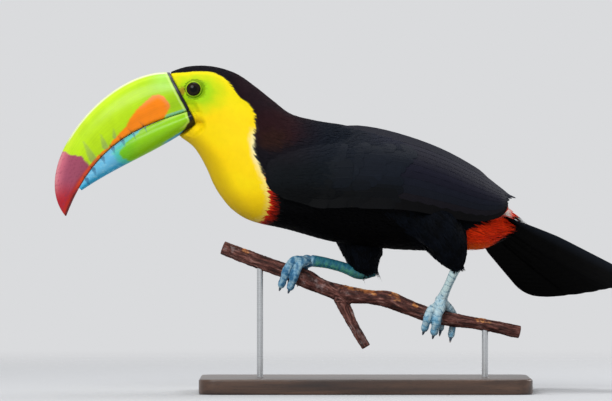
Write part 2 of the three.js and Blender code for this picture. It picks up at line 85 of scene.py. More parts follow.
def linear(colour: str) -> tuple[float, float, float]:
    """Turns an sRGB hex colour into linear light.

    Args:
        colour: six hex digits with a leading #.

    Returns:
        Red, green and blue from 0 to 1.
    """
    parts = [int(colour[i : i + 2], 16) / 255 for i in (1, 3, 5)]
    return tuple(c / 12.92 if c <= 0.04045 else ((c + 0.055) / 1.055) ** 2.4 for c in parts)


def fade(low: float, high: float, value: Array) -> Array:
    """A smooth step: 0 up to low, 1 from high on, 3t^2 - 2t^3 in between."""
    t = np.clip((np.asarray(value, float) - low) / (high - low), 0, 1)
    return t * t * (3 - 2 * t)


def blend_to(base: Array, share: Array, colour: str) -> Array:
    """Mixes rows of linear colours with one named colour.

    Args:
        base: linear colours, one row each.
        share: from 0, the base, to 1, the named colour.
        colour: sRGB hex.

    Returns:
        The mixed rows.
    """
    return base + (np.array(linear(colour)) - base) * np.clip(share, 0, 1)[..., None]


def unit(v: Array) -> Array:
    """Rows of vectors at length 1."""
    return v / np.maximum(np.linalg.norm(v, axis=-1, keepdims=True), 1e-12)


def layered(base: Array, *layers: tuple[Array, str]) -> Array:
    """Mixes named colours over rows of linear colours, one after the other.

    Args:
        base: the rows below.
        layers: share and sRGB hex of each colour.

    Returns:
        The mixed rows.
    """
    for share, colour in layers:
        base = blend_to(base, share, colour)
    return base


def mix(base: Array, over: Array, share: Array) -> Array:
    """Rows between two sets of rows: base + (over - base) share."""
    return base + (over - base) * share[:, None]


def plain(colour: str, count: int) -> Array:
    """Rows of one named colour in linear light."""
    return np.tile(np.array(linear(colour)), (count, 1))


def bell(offset: Array, width: float) -> Array:
    """A bell over an offset: exp(-(offset / width)^2)."""
    return np.exp(-((offset / width) ** 2))


def full_turn(count: int) -> Array:
    """Angles all round in even steps."""
    return np.linspace(0, 2 * math.pi, count, endpoint=False)


def ripple(points: Array, size: float, seed: int) -> Array:
    """Smooth noise from -1 to 1: the mean of plane waves in random directions.

    Args:
        points: rows of places.
        size: length of a wave, in the places' unit.
        seed: which random directions.

    Returns:
        One value for each row.
    """
    rng = np.random.default_rng(seed)
    waves = rng.normal(size=(9, points.shape[-1]))
    lengths = np.linalg.norm(waves, axis=1, keepdims=True)
    waves *= (2 * math.pi / size) * rng.uniform(0.6, 1.5, (9, 1)) / lengths
    total = np.sin(points @ waves.T + rng.uniform(0, 2 * math.pi, 9)).sum(-1)
    return np.clip(total / 4.0, -1, 1)


def spline(points: Array | Path, t: Array, flat_ends: bool = False) -> Array:
    """A Catmull-Rom spline through evenly spaced rows: cubic pieces whose slopes are half the chords.

    Args:
        points: rows to pass through.
        t: from 0, the first row, to 1, the last.
        flat_ends: True repeats the end rows, False carries the line straight on past them.

    Returns:
        A row for each t.
    """
    p = np.asarray(points, float)
    last = len(p) - 1
    x = np.clip(t, 0, 1) * last
    i = np.minimum(x.astype(int), last - 1)
    w = (x - i)[..., None]
    before = p[:1] if flat_ends else 2 * p[:1] - p[1:2]
    after = p[-1:] if flat_ends else 2 * p[-1:] - p[-2:-1]
    q = np.concatenate([before, p, after])
    p0, p1, p2, p3 = q[i], q[i + 1], q[i + 2], q[i + 3]
    m1, m2 = (p2 - p0) / 2, (p3 - p1) / 2
    cubic = (2 * w**3 - 3 * w**2 + 1) * p1 + (w**3 - 2 * w**2 + w) * m1
    return cubic + (-2 * w**3 + 3 * w**2) * p2 + (w**3 - w**2) * m2


def values(numbers: Numbers, t: Array) -> Array:
    """A smooth value through evenly spaced numbers, at t from 0 to 1."""
    return spline(np.array(numbers, float)[:, None], np.asarray(t, float), flat_ends=True)[..., 0]


def bezier(control: Line, t: Array) -> Array:
    """A cubic Bezier line of [x, z]: Bernstein's polynomials weight its four control points.

    Args:
        control: the four control points.
        t: from 0, the first, to 1, the last.

    Returns:
        A row [x, z] for each t.
    """
    a, b, c, d = np.array(control, float)
    t = np.asarray(t, float)[..., None]
    return (1 - t) ** 3 * a + 3 * (1 - t) ** 2 * t * b + 3 * (1 - t) * t**2 * c + t**3 * d


def line_gap(line: Line | Array, x: Array, z: Array) -> Array:
    """Distance of places [x, z] from an open line.

    Args:
        line: the line's points, [x, z].
        x: places along X.
        z: their heights.

    Returns:
        One distance for each place.
    """
    p = np.array(line, float)
    side = p[1:] - p[:-1]
    here = np.stack([x, z], -1)[:, None]
    t = np.clip(((here - p[:-1]) * side).sum(-1) / (side**2).sum(-1), 0, 1)
    return np.linalg.norm(here - p[:-1] - t[..., None] * side, axis=-1).min(1)


def stroke(offset: Array, run: Array) -> tuple[Array, Array]:
    """How a straight stroke lies to places.

    Args:
        offset: the places [x, z] from its foot.
        run: from its foot to its top.

    Returns:
        The share along it of its nearest point to each place, and the distance from that point.
    """
    t = np.clip((offset @ run) / (run @ run), 0, 1)
    return t, np.linalg.norm(offset - t[:, None] * run, axis=1)


def line_above(line: Line, x: Array, z: Array) -> Array:
    """Signed distance from a line that runs towards +X: positive above it."""
    p = np.array(line, float)
    return np.where(z > np.interp(x, p[:, 0], p[:, 1]), 1.0, -1.0) * line_gap(line, x, z)


def inside_outline(outline: Line, x: Array, z: Array) -> Array:
    """Distance inside a closed outline, negative outside: the least one to its sides, signed by crossings
    of a level ray.

    Args:
        outline: its corners, [x, z].
        x: places along X.
        z: their heights.

    Returns:
        One distance for each place.
    """
    p = np.array(outline, float)
    side = np.roll(p, -1, axis=0) - p
    over = (p[:, 1] > z[:, None]) != (np.roll(p[:, 1], -1) > z[:, None])
    cut = p[:, 0] + (z[:, None] - p[:, 1]) * side[:, 0] / np.where(side[:, 1] == 0, 1e-9, side[:, 1])
    odd = (over & (x[:, None] < cut)).sum(1) % 2 == 1
    return np.where(odd, 1.0, -1.0) * line_gap((*outline, outline[0]), x, z)


@dataclass(frozen=True)
class Course:
    """A smooth line through points in space, read by its own length.

    Args:
        points: the points, in millimetres.
        reference: a direction that the line never takes; the first direction across is square to it.
    """

    points: Path
    reference: tuple[float, float, float]

    def table(self) -> tuple[Array, Array, Array]:
        """Parameters, places and running lengths of a close sampling.

        Returns:
            The three columns of the table.
        """
        t = np.linspace(0, 1, 801)
        places = spline(self.points, t)
        steps = np.linalg.norm(np.diff(places, axis=0), axis=1)
        return t, places, np.concatenate([[0], np.cumsum(steps)])

    def length(self) -> float:
        """The line's length."""
        return float(self.table()[2][-1])

    def at(self, distance: Array) -> Array:
        """Places at distances along the line, carried straight on past its ends.

        Args:
            distance: where along the line, in millimetres.

        Returns:
            A place for each distance.
        """
        t, places, run = self.table()
        inside = np.clip(distance, 0, run[-1])
        found = spline(self.points, np.interp(inside, run, t))
        first, last = unit(places[1] - places[0]), unit(places[-1] - places[-2])
        ends = np.where((distance > run[-1])[..., None], last, first)
        return found + (distance - inside)[..., None] * ends

    def frames(self, distance: Array) -> tuple[Array, Array, Array]:
        """Tangents, and two directions across them, the first square to the reference.

        Args:
            distance: where along the line.

        Returns:
            Tangents, those directions and their cross products.
        """
        tangent = unit(self.at(distance + 0.2) - self.at(distance - 0.2))
        level = unit(np.cross(tangent, np.array(self.reference)))
        return tangent, level, np.cross(tangent, level)


# ------------------------------------------------------------------ meshes


def grid_quads(rows: int, columns: int, wrap: bool = False) -> Array:
    """Corner numbers of the quads of a grid, row by row; wrap closes each row on itself.

    Args:
        rows: rows of the grid.
        columns: places in a row.
        wrap: True closes the rows.

    Returns:
        Rows of four corner numbers.
    """
    i, j = np.meshgrid(np.arange(rows - 1), np.arange(columns if wrap else columns - 1), indexing="ij")
    a = (i * columns + j).ravel()
    b = (i * columns + (j + 1) % columns).ravel()
    return np.stack([a, b, b + columns, a + columns], 1)


def tube_mesh(rings: Array) -> Shell:
    """Closes a stack of rings with a fan at each end.

    Args:
        rings: places as [ring, place on the ring, xyz].

    Returns:
        The vertices, and the quads and triangles.
    """
    count, sides, _ = rings.shape
    vertices = np.concatenate([rings.reshape(-1, 3), rings[0].mean(0)[None], rings[-1].mean(0)[None]])
    j = np.arange(sides)
    k = (j + 1) % sides
    first = np.stack([np.full(sides, count * sides), k, j], 1)
    base = (count - 1) * sides
    final = np.stack([np.full(sides, count * sides + 1), base + j, base + k], 1)
    return vertices, [grid_quads(count, sides, wrap=True), np.concatenate([first, final])]


def outward(vertices: Array, faces: list[Array]) -> list[Array]:
    """Turns a closed mesh's faces round where its signed volume comes out negative.

    Args:
        vertices: rows of places.
        faces: arrays of corner numbers.

    Returns:
        The faces with their outsides out.
    """
    total = 0.0
    for f in faces:
        for k in range(1, f.shape[1] - 1):
            a, b, c = vertices[f[:, 0]], vertices[f[:, k]], vertices[f[:, k + 1]]
            total += float(np.einsum("ij,ij->", a, np.cross(b, c)))
    return faces if total > 0 else [f[:, ::-1] for f in faces]


def put_mesh(name: str, vertices: Array, faces: list[Array], closed: bool = True) -> Piece:
    """Makes a mesh object at the origin from arrays in millimetres.

    Args:
        name: the piece's name.
        vertices: rows of places.
        faces: arrays of corner numbers, each of one face size.
        closed: True makes the faces of the closed mesh point outwards.

    Returns:
        The object, smooth shaded and linked to the scene.
    """
    faces = [f for f in faces if len(f)]
    if closed:
        faces = outward(vertices, faces)
    sizes = np.concatenate([np.full(len(f), f.shape[1]) for f in faces])
    corners = np.concatenate([f.ravel() for f in faces])
    mesh = bpy.data.meshes.new(name)
    mesh.vertices.add(len(vertices))
    mesh.vertices.foreach_set("co", (vertices * MM).astype(np.float32).ravel())
    mesh.loops.add(len(corners))
    mesh.loops.foreach_set("vertex_index", corners.astype(np.int32))
    mesh.polygons.add(len(sizes))
    starts = np.concatenate([[0], np.cumsum(sizes)[:-1]])
    mesh.polygons.foreach_set("loop_start", starts.astype(np.int32))
    mesh.update(calc_edges=True)
    mesh.shade_smooth()
    piece = bpy.data.objects.new(name, mesh)
    bpy.context.scene.collection.objects.link(piece)
    return piece


def tint(piece: Piece, name: str, rows: Array) -> None:
    """Stores linear colours, one for each vertex, as a named colour attribute.

    Args:
        piece: the piece.
        name: the attribute's name.
        rows: the colours.
    """
    layer = piece.data.color_attributes.new(name, "FLOAT_COLOR", "POINT")
    full = np.ones((len(rows), 4), np.float32)
    full[:, :3] = rows
    layer.data.foreach_set("color", full.ravel())


def number(piece: Piece, name: str, rows: Array) -> None:
    """Stores one number for each vertex as a named attribute."""
    layer = piece.data.attributes.new(name, "FLOAT", "POINT")
    layer.data.foreach_set("value", rows.astype(np.float32))


def read_mesh(mesh: bpy.types.Mesh, sides: int) -> tuple[Array, Array]:
    """Reads a mesh whose faces all have as many sides.

    Args:
        mesh: the mesh.
        sides: of each face.

    Returns:
        Its places in millimetres and its faces' corner numbers.
    """
    places = np.zeros(len(mesh.vertices) * 3, np.float32)
    mesh.vertices.foreach_get("co", places)
    corners = np.zeros(len(mesh.loops), np.int32)
    mesh.loops.foreach_get("vertex_index", corners)
    return places.reshape(-1, 3).astype(float) / MM, corners.reshape(-1, sides)


def unwrap(piece: Piece, name: str, rows: Array) -> None:
    """Stores a UV map from one place for each vertex.

    Args:
        piece: the piece.
        name: the map's name.
        rows: the places on the map.
    """
    corners = read_mesh(piece.data, 1)[1][:, 0]
    layer = piece.data.uv_layers.new(name=name)
    layer.data.foreach_set("uv", rows[corners].astype(np.float32).ravel())


def shaped(piece: Piece, voxel: float, rounds: int) -> tuple[Array, Array]:
    """Joins overlapping closed shells into one skin by a voxel remesh, then smooths it.

    Args:
        piece: the object with the shells; it is removed.
        voxel: size of a voxel, in millimetres.
        rounds: how often the skin is smoothed.

    Returns:
        The skin's vertices in millimetres and its quads.
    """
    remesh = piece.modifiers.new("one_skin", "REMESH")
    remesh.mode = "VOXEL"
    remesh.voxel_size = voxel * MM
    smooth = piece.modifiers.new("soften", "SMOOTH")
    smooth.factor = 0.5
    smooth.iterations = rounds
    mesh = bpy.data.meshes.new_from_object(piece.evaluated_get(bpy.context.evaluated_depsgraph_get()))
    found = read_mesh(mesh, 4)
    bpy.data.objects.remove(piece)
    bpy.data.meshes.remove(mesh)
    return found


def dress(piece: Piece, finish: Material, slot: str, *nodes: str) -> Piece:
    """Gives a piece its material and its place in the model.

    Args:
        piece: the piece.
        finish: its material.
        slot: not used.
        nodes: the solids that it stands for.

    Returns:
        The piece, riding on the bird.
    """
    piece.data.materials.append(finish)
    if nodes:
        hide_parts(*nodes)
    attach(piece, "root")
    LOG.info("%s: %d faces", piece.name, len(piece.data.polygons))
    return piece


# ------------------------------------------------------------------ materials


def add_node(
    tree: Tree,
    kind: str,
    sockets: dict[str | int, object] | tuple[object, ...] = (),
    out: str | int = 0,
    stops: Stops = (),
    **settings: object,
) -> Socket | None:
    """Adds one node with its settings, values and links.

    Args:
        tree: the material's node tree.
        kind: Blender's type name of the node, without its ShaderNode.
        sockets: what each input gets, a constant or an output, by name or in the inputs' order; for MapRange
            that is the value, the range that it comes from and the range that it goes to.
        out: the output that is wanted.
        stops: place and sRGB hex of each stop of a colour ramp.
        settings: the node's own properties.

    Returns:
        That output; a node that ends a tree has none.
    """
    made = tree.nodes.new(f"ShaderNode{kind}")
    for key, value in settings.items():
        setattr(made, key, value)
    for key, value in sockets.items() if isinstance(sockets, dict) else enumerate(sockets):
        if isinstance(value, Socket):
            tree.links.new(value, made.inputs[key])
        else:
            made.inputs[key].default_value = value
    if stops:
        while len(made.color_ramp.elements) < len(stops):
            made.color_ramp.elements.new(1.0)
        for element, (place, colour) in zip(made.color_ramp.elements, stops):
            element.position = place
            element.color = (*linear(colour), 1)
    return made.outputs[out] if len(made.outputs) else None


def new_material(name: str) -> tuple[Material, Tree, Socket]:
    """A node material, its tree, and the places on the object in metres.

    Args:
        name: the material's name.

    Returns:
        The material, its tree and those places.
    """
    made = bpy.data.materials.new(name)
    made.use_nodes = True
    made.node_tree.nodes.clear()
    return made, made.node_tree, add_node(made.node_tree, "TexCoord", out="Object")


def close_material(made: Material, sockets: dict[str, object]) -> Material:
    """Ends a material with its surface.

    Args:
        made: the material.
        sockets: values and links of the surface.

    Returns:
        The material.
    """
    surface = add_node(made.node_tree, "BsdfPrincipled", sockets)
    add_node(made.node_tree, "OutputMaterial", {"Surface": surface})
    return made


def shade_noise(tree: Tree, where: Socket, size: float, low: float, high: float) -> Socket:
    """A grey factor that wanders between two levels.

    Args:
        tree: the material's node tree.
        where: the coordinates.
        size: the noise's scale, per unit of the coordinates.
        low: factor in the dark spots.
        high: factor in the light spots.

    Returns:
        The factor.
    """
    noise = add_node(tree, "TexNoise", {"Vector": where, "Scale": size, "Detail": 3.0})
    return add_node(tree, "MapRange", (noise, 0.3, 0.7, low, high))


def shaded(tree: Tree, colour: Socket, *factors: Socket) -> Socket:
    """A colour times grey factors, one after the other."""
    for factor in factors:
        colour = add_node(tree, "VectorMath", (colour, factor), operation="MULTIPLY")
    return colour


@dataclass(frozen=True)
class FeatherFinish:
    """Keratin vanes: the eye sees soft barbs side by side, with a faint gloss along them.

    Args:
        name: the material's name.
        barbs: barb lines over a vane's length; real ones are 0.2 mm apart, drawn coarser so that they show.
        depth: height of the barb lines, in millimetres.
        specular: level of the vane's gloss.
        roughness: of the vane.
        mottle: how much the tint wanders from feather to feather.
        contrast: how much darker the lines between the barbs are.
        slant: how far the lines lean back from the rachis.
    """

    name: str
    barbs: float
    depth: float
    specular: float
    roughness: float = 0.6
    mottle: float = 0.12
    contrast: float = 0.08
    slant: float = 2.2

    def material(self) -> Material:
        """The node material: barbs as a sine along the vane that leans back with the breadth.

        Returns:
            The material.
        """
        made, tree, places = new_material(self.name)
        parts = add_node(tree, "SeparateXYZ", (add_node(tree, "UVMap", uv_map="Vane"),)).node.outputs
        off = add_node(tree, "Math", (parts["X"], 0.5), operation="SUBTRACT")
        off = add_node(tree, "Math", (off,), operation="ABSOLUTE")
        lean = add_node(tree, "Math", (off, -self.slant / self.barbs * 4), operation="MULTIPLY")
        line = add_node(tree, "Math", (parts["Y"], lean), operation="ADD")
        turn = add_node(tree, "Math", (line, self.barbs * 2 * math.pi), operation="MULTIPLY")
        wave = add_node(tree, "Math", (turn,), operation="SINE")
        tints = add_node(tree, "Attribute", attribute_name="Tint")
        mottled = shade_noise(tree, places, 240, 1 - self.mottle, 1 + self.mottle)
        barbed = add_node(tree, "MapRange", (wave, -1.0, 1.0, 1 - self.contrast, 1 + self.contrast / 2))
        surface = {
            "Base Color": shaded(tree, tints, mottled, barbed),
            "Roughness": self.roughness,
            "Specular IOR Level": self.specular,
            "Normal": add_node(tree, "Bump", {"Height": wave, "Strength": 0.5, "Distance": self.depth * MM}),
        }
        return close_material(made, surface)


@dataclass(frozen=True)
class SkinFinish:
    """Bare and feather-covered skin: matt and pebbled.

    Args:
        name: the material's name.
        pebble: size of the skin's grains, in millimetres; drawn coarser than the real 0.3 mm.
        depth: height of the grains, in millimetres.
        roughness: of the skin.
    """

    name: str
    pebble: float = 0.9
    depth: float = 0.1
    roughness: float = 0.6

    def material(self) -> Material:
        """The node material.

        Returns:
            The material.
        """
        made, tree, places = new_material(self.name)
        tints = add_node(tree, "Attribute", attribute_name="Tint")
        mottled = shade_noise(tree, places, 300, 0.9, 1.08)
        cells = add_node(tree, "TexVoronoi", {"Vector": places, "Scale": 1 / (self.pebble * MM)}, "Distance")
        creases = add_node(tree, "MapRange", (cells, 0.2, 0.75, 1.04, 0.86))
        bump = {"Height": creases, "Strength": 0.7, "Distance": self.depth * MM}
        surface = {
            "Base Color": shaded(tree, tints, mottled, creases),
            "Roughness": self.roughness,
            "Specular IOR Level": 0.2,
            "Normal": add_node(tree, "Bump", bump),
        }
        return close_material(made, surface)


@dataclass(frozen=True)
class KeratinFinish:
    """Bill and claw horn: a satin shell whose growth leaves fine lines along it.

    Args:
        name: the material's name.
        streaks: fine growth lines over the breadth, drawn about 1 mm apart so that they show.
        roughness: of the horn.
        depth: height of the lines, in millimetres.
        coat: weight of the clear gloss over it.
        coat_roughness: of that gloss.
    """

    name: str
    streaks: float = 40
    roughness: float = 0.4
    depth: float = 0.05
    coat: float = 0.15
    coat_roughness: float = 0.2

    def material(self) -> Material:
        """The node material.

        Returns:
            The material.
        """
        made, tree, places = new_material(self.name)
        along = add_node(tree, "UVMap", uv_map="Horn")
        lines = add_node(tree, "Mapping", {"Vector": along, "Scale": (self.streaks, 3.0, 1.0)})
        tints = add_node(tree, "Attribute", attribute_name="Tint")
        cloud = shade_noise(tree, places, 90, 0.94, 1.05)
        streak = shade_noise(tree, lines, 1.0, 0.95, 1.04)
        pits = add_node(tree, "TexNoise", {"Vector": places, "Scale": 900.0, "Detail": 2.0})
        relief = add_node(tree, "Math", (streak, pits), operation="ADD")
        bump = {"Height": relief, "Strength": 0.5, "Distance": self.depth * MM}
        rough = (pits, 0.0, 1.0, self.roughness - 0.06, self.roughness + 0.08)
        surface = {
            "Base Color": shaded(tree, tints, cloud, streak),
            "Roughness": add_node(tree, "MapRange", rough),
            "Specular IOR Level": 0.2,
            "Coat Weight": self.coat,
            "Coat Roughness": self.coat_roughness,
            "Normal": add_node(tree, "Bump", bump),
        }
        return close_material(made, surface)


@dataclass(frozen=True)
class EyeFinish:
    """A wet dark eye: a brown-black iris round a black pupil under a clear cornea.

    Args:
        name: the material's name.
        pupil: colour of the pupil.
        iris: colour of the iris.
        rim: colour where the iris meets the lid.
        pupil_half: half width of the pupil, in centimetres as from_axis is.
    """

    name: str = "Wet cornea over dark iris"
    pupil: str = "#020203"
    iris: str = "#1C130B"
    rim: str = "#0A0806"
    pupil_half: float = 0.26

    def material(self) -> Material:
        """The node material.

        Returns:
            The material.
        """
        made, tree, places = new_material(self.name)
        off = add_node(tree, "Attribute", out="Fac", attribute_name="from_axis")
        spokes = shade_noise(tree, places, 1400, 0.6, 1.5)
        edge = self.pupil_half
        pupil = ((0.0, self.pupil), (edge, self.pupil))
        stops = (*pupil, (edge + 0.03, self.iris), (0.5, self.iris), (0.6, self.rim))
        surface = {
            "Base Color": shaded(tree, add_node(tree, "ValToRGB", (off,), stops=stops), spokes),
            "Roughness": 0.12,
            "Specular IOR Level": 0.03,
            "Coat Weight": 0.22,
            "Coat Roughness": 0.03,
        }
        return close_material(made, surface)


@dataclass(frozen=True)
class BarkFinish:
    """Thin smooth bark of a live branch: maroon-brown, wrinkled lengthwise, scuffed orange where birds land,
    on its top also as a painted highlight.

    Args:
        name: the material's name.
        bark: the wrinkles' colours from their grounds to their tops.
        wood: colours of the scuffed wood, which on the branch's top also stand in for a painted highlight.
        lichen: colour of the thin grey film.
    """

    name: str = "Thin maroon bark"
    bark: Stops = (
        (0.3, "#190A08"), (0.42, "#381C17"), (0.52, "#573029"), (0.62, "#7C5148"), (0.72, "#B08E84"),
    )  # fmt: skip
    wood: Stops = ((0.35, "#7E4020"), (0.5, "#B8703A"), (0.62, "#DCA468"), (0.8, "#EBCB98"))
    lichen: str = "#B8A6A4"

    def material(self) -> Material:
        """The node material: noise along the grain, patches of scuffed wood that are also a painted
        highlight, under a film of lichen.

        Returns:
            The material.
        """
        made, tree, places = new_material(self.name)
        axes = (add_node(tree, "Attribute", out="Fac", attribute_name=f"grain_{c}") for c in "xyz")
        along = add_node(tree, "CombineXYZ", tuple(axes))
        stretched = add_node(tree, "Mapping", {"Vector": along, "Scale": (0.42, 0.42, 0.1)})
        wrinkles = {"Vector": stretched, "Scale": 1.0, "Detail": 6.0, "Roughness": 0.65}
        grain = add_node(tree, "TexNoise", wrinkles)
        base = add_node(tree, "ValToRGB", (grain,), stops=self.bark)
        tan = add_node(tree, "ValToRGB", (grain,), stops=self.wood)
        blots = add_node(tree, "TexNoise", {"Vector": places, "Scale": 260.0, "Detail": 4.0})
        # scuffed patches: wear, and on the branch's top also a painted highlight
        worn_and_lit = add_node(tree, "Attribute", out="Fac", attribute_name="worn_and_lit")
        rubbed_and_lit = add_node(tree, "Math", (worn_and_lit, blots), operation="MULTIPLY")
        rubbed_and_lit = add_node(tree, "MapRange", (rubbed_and_lit, 0.36, 0.56, 0.0, 1.0))
        mixed = add_node(tree, "Mix", {"Factor": rubbed_and_lit, 6: base, 7: tan}, 2, data_type="RGBA")
        spots = {"Vector": places, "Scale": 120.0, "Detail": 5.0, "Roughness": 0.7}
        film = add_node(tree, "MapRange", (add_node(tree, "TexNoise", spots), 0.56, 0.74, 0.0, 0.55))
        grey = (*linear(self.lichen), 1)
        colour = add_node(tree, "Mix", {"Factor": film, 6: mixed, 7: grey}, 2, data_type="RGBA")
        # painted shade: a factor that darkens the bark in its hollows, cracks and knots and lightens the
        # wrinkles' tops
        hollow_shade = add_node(tree, "Attribute", out="Fac", attribute_name="hollow_shade")
        surface = {
            "Base Color": shaded(tree, colour, hollow_shade),
            "Roughness": 0.78,
            "Specular IOR Level": 0.3,
            "Normal": add_node(tree, "Bump", {"Height": grain, "Strength": 0.8, "Distance": 0.6 * MM}),
        }
        return close_material(made, surface)


@dataclass(frozen=True)
class TimberFinish:
    """Stained walnut, planed and waxed: dark lengthwise figure with short open pores.

    Args:
        name: the material's name.
        figure: colours from the late to the early wood.
    """

    name: str = "Waxed walnut"
    figure: Stops = ((0.3, "#241610"), (0.5, "#3E291D"), (0.7, "#5C4130"))

    def material(self) -> Material:
        """The node material.

        Returns:
            The material.
        """
        made, tree, places = new_material(self.name)
        board = add_node(tree, "Mapping", {"Vector": places, "Scale": (6.0, 60.0, 60.0)})
        figure = add_node(tree, "TexNoise", {"Vector": board, "Scale": 1.3, "Detail": 7.0, "Distortion": 0.7})
        colour = add_node(tree, "ValToRGB", (figure,), stops=self.figure)
        fine = add_node(tree, "Mapping", {"Vector": places, "Scale": (160.0, 1600.0, 1600.0)})
        pores = add_node(tree, "TexNoise", {"Vector": fine, "Scale": 1.0, "Detail": 2.0})
        pores = add_node(tree, "MapRange", (pores, 0.3, 0.45, 0.55, 1.0))
        surface = {
            "Base Color": shaded(tree, colour, pores),
            "Roughness": 0.38,
            "Coat Weight": 0.2,
            "Coat Roughness": 0.25,
            "Normal": add_node(tree, "Bump", {"Height": pores, "Strength": 0.35, "Distance": 0.1 * MM}),
        }
        return close_material(made, surface)


@dataclass(frozen=True)
class SteelFinish:
    """Drawn stainless rod: grey, with fine lines round it from polishing in a lathe.

    Args:
        name: the material's name.
        lines: colours of the lines.
    """

    name: str = "Polished stainless rod"
    lines: Stops = ((0.2, "#B9BBBD"), (0.8, "#CFD1D2"))

    def material(self) -> Material:
        """The node material.

        Returns:
            The material.
        """
        made, tree, places = new_material(self.name)
        turned = add_node(tree, "Mapping", {"Vector": places, "Scale": (40.0, 40.0, 3000.0)})
        lines = add_node(tree, "TexNoise", {"Vector": turned, "Scale": 1.0, "Detail": 2.0})
        surface = {
            "Base Color": add_node(tree, "ValToRGB", (lines,), stops=self.lines),
            "Metallic": 1.0,
            "Roughness": add_node(tree, "MapRange", (lines, 0.0, 1.0, 0.22, 0.4)),
            "Normal": add_node(tree, "Bump", {"Height": lines, "Strength": 0.2, "Distance": 0.03 * MM}),
        }
        return close_material(made, surface)


# ------------------------------------------------------------------ the bird's form

BEND_FROM = -20.0
BEND = 0.00098


def bend(x: Array) -> Array:
    """How far the middle plane lies towards +Y at x: nothing up to BEND_FROM, then a square law."""
    return BEND * np.maximum(0, x - BEND_FROM) ** 2


BILL_BASE = (
    (-156.8, 262), (-156.2, 256), (-151, 246), (-145.5, 235.5), (-139.6, 225), (-136.6, 219.5),
    (-135.2, 214.2), (-141.2, 208), (-149.5, 202.4), (-160, 195), (-260, 110), (-260, 262),
)  # fmt: skip
# The bill at its base: height of its biting edge, height of its upper half over that, its half width,
# and the share by which a section narrows away from the biting edge.
BITE_HEIGHT = 225.2
UPPER_HEIGHT = 30.4
BASE_HALF = 15.5
NARROWING = 0.34


def bill_half(x: Array, z: Array, cleft: float = 0.02) -> Array:
    """Half width of the bill near its base: sections that narrow away from the biting edge.

    Args:
        x: places along the bill.
        z: their heights.
        cleft: how far the cleft at the biting edge is filled, as a share of a half's height.

    Returns:
        Half widths.
    """
    above = np.clip((z - BITE_HEIGHT) / UPPER_HEIGHT, 0.0, 0.97)
    under = np.interp(x, [-165, -149, -136], [196, 204, 214])
    below = np.clip((BITE_HEIGHT - z) / np.maximum(BITE_HEIGHT - under, 1), 0.0, 0.9)
    edge = np.maximum(cleft, np.where(z > BITE_HEIGHT, above, below))
    roundness = 0.26 + 0.36 * fade(0.0, 0.22, edge)
    return BASE_HALF * (1 - NARROWING * edge**3) * (2 * np.sqrt(edge * (1 - edge))) ** roundness


def squeeze(places: Array, under: Array | float = 0.0) -> Array:
    """Draws the head in to the bill's width along the bill's base, and under its horn in front of it.

    Args:
        places: places on the head.
        under: how much farther in they go, in millimetres.

    Returns:
        The places drawn in.
    """
    flat = places.reshape(-1, 3)
    near = flat[:, 0] < -112
    x, y, z = flat[near].T
    deeper = np.broadcast_to(under, places.shape[:-1]).ravel()[near]
    inside = inside_outline(BILL_BASE, x, z)
    spare = np.where(inside > 0, 0.2 - 4.0 * np.minimum(inside, 1.2), 0.2 - 0.75 * inside)
    reach = bill_half(x, z, 0.15) - deeper + spare
    soft = 1.5
    over = np.abs(y) - reach
    held = np.where(over > -soft, reach - soft * np.exp(-np.clip((over + soft) / soft, 0, 30)), np.abs(y))
    share = fade(9, 4, -inside)
    y = np.sign(y) * (np.abs(y) + (np.minimum(held, np.abs(y)) - np.abs(y)) * share)
    result = flat.copy()
    result[near, 1] = y
    return result.reshape(places.shape)


@dataclass(frozen=True)
class BodyForm:
    """Outline of head, neck, trunk and rump: ovals between a back line and a belly line.

    u counts the stations from the bill's base to the tail's root, v is the angle from the back
    towards the right side.

    Args:
        top: the back line's [x, half width, z] at each station.
        low: the belly line's [x, z].
    """

    top: Path = (
        (-156, 12.5, 256), (-141, 19.5, 260.5), (-122, 21.5, 260.5), (-103.5, 22.5, 255), (-88.5, 24.5, 245),
        (-74, 27.5, 233.5), (-59, 31, 222.5), (-38, 34, 217), (-14, 35.5, 213), (13, 35.5, 205),
        (41, 34, 197), (68, 30.5, 185), (91, 25, 168.5), (109.5, 18.5, 153), (120, 11, 143.5),
    )  # fmt: skip
    low: Line = (
        (-149, 205), (-138, 197), (-131.5, 188), (-126, 177.5), (-121, 166), (-114.5, 155.5), (-105, 145),
        (-90, 136.5), (-62, 130), (-27, 120.5), (13, 115), (49, 113), (76, 113.5), (93, 114), (105, 118.5),
    )  # fmt: skip

    def last(self) -> float:
        """The last station's number."""
        return float(len(self.top) - 1)

    def ring(self, u: Array) -> tuple[Array, Array, Array]:
        """The middle, the half axis towards the back, both [x, z], and the half width at u.

        Args:
            u: station numbers.

        Returns:
            Middles, half axes and half widths.
        """
        top = spline(self.top, u / self.last())
        low = spline(self.low, u / self.last())
        back = top[..., [0, 2]]
        return (back + low) / 2, (back - low) / 2, top[..., 1]

    def on_ring(self, u: Array, v: Array, rise: Array) -> Array:
        """middle + axis cos v in the plane, half width sin v across it, both grown by the rise.

        Args:
            u: station numbers on the form.
            v: angles from the back.
            rise: height over the outline.

        Returns:
            Places in space.
        """
        middle, axis, half = self.ring(u)
        reach = np.linalg.norm(axis, axis=-1, keepdims=True)
        axis = axis * (1 + np.asarray(rise)[..., None] / reach)
        flat = middle + axis * np.cos(v)[..., None]
        across = (half + rise) * np.sin(v) + bend(flat[..., 0])
        return squeeze(np.stack([flat[..., 0], across, flat[..., 1]], -1), -np.asarray(rise))

    def point(self, u: Array, v: Array, rise: Array) -> Array:
        """Places on the form, carried straight on past its last station.

        Args:
            u: station numbers.
            v: angles from the back.
            rise: height over the outline.

        Returns:
            Places in space.
        """
        u, v, rise = np.broadcast_arrays(np.asarray(u, float), v, rise)
        end = self.last()
        inside = np.clip(u, 0, end)
        found = self.on_ring(inside, v, rise)
        past = (u - inside)[..., None]
        if np.any(past):
            step = 0.2
            before, last = (self.on_ring(np.full_like(u, at), v, rise) for at in (end - step, end))
            found = found + past * ((last - before) / step)
        return found


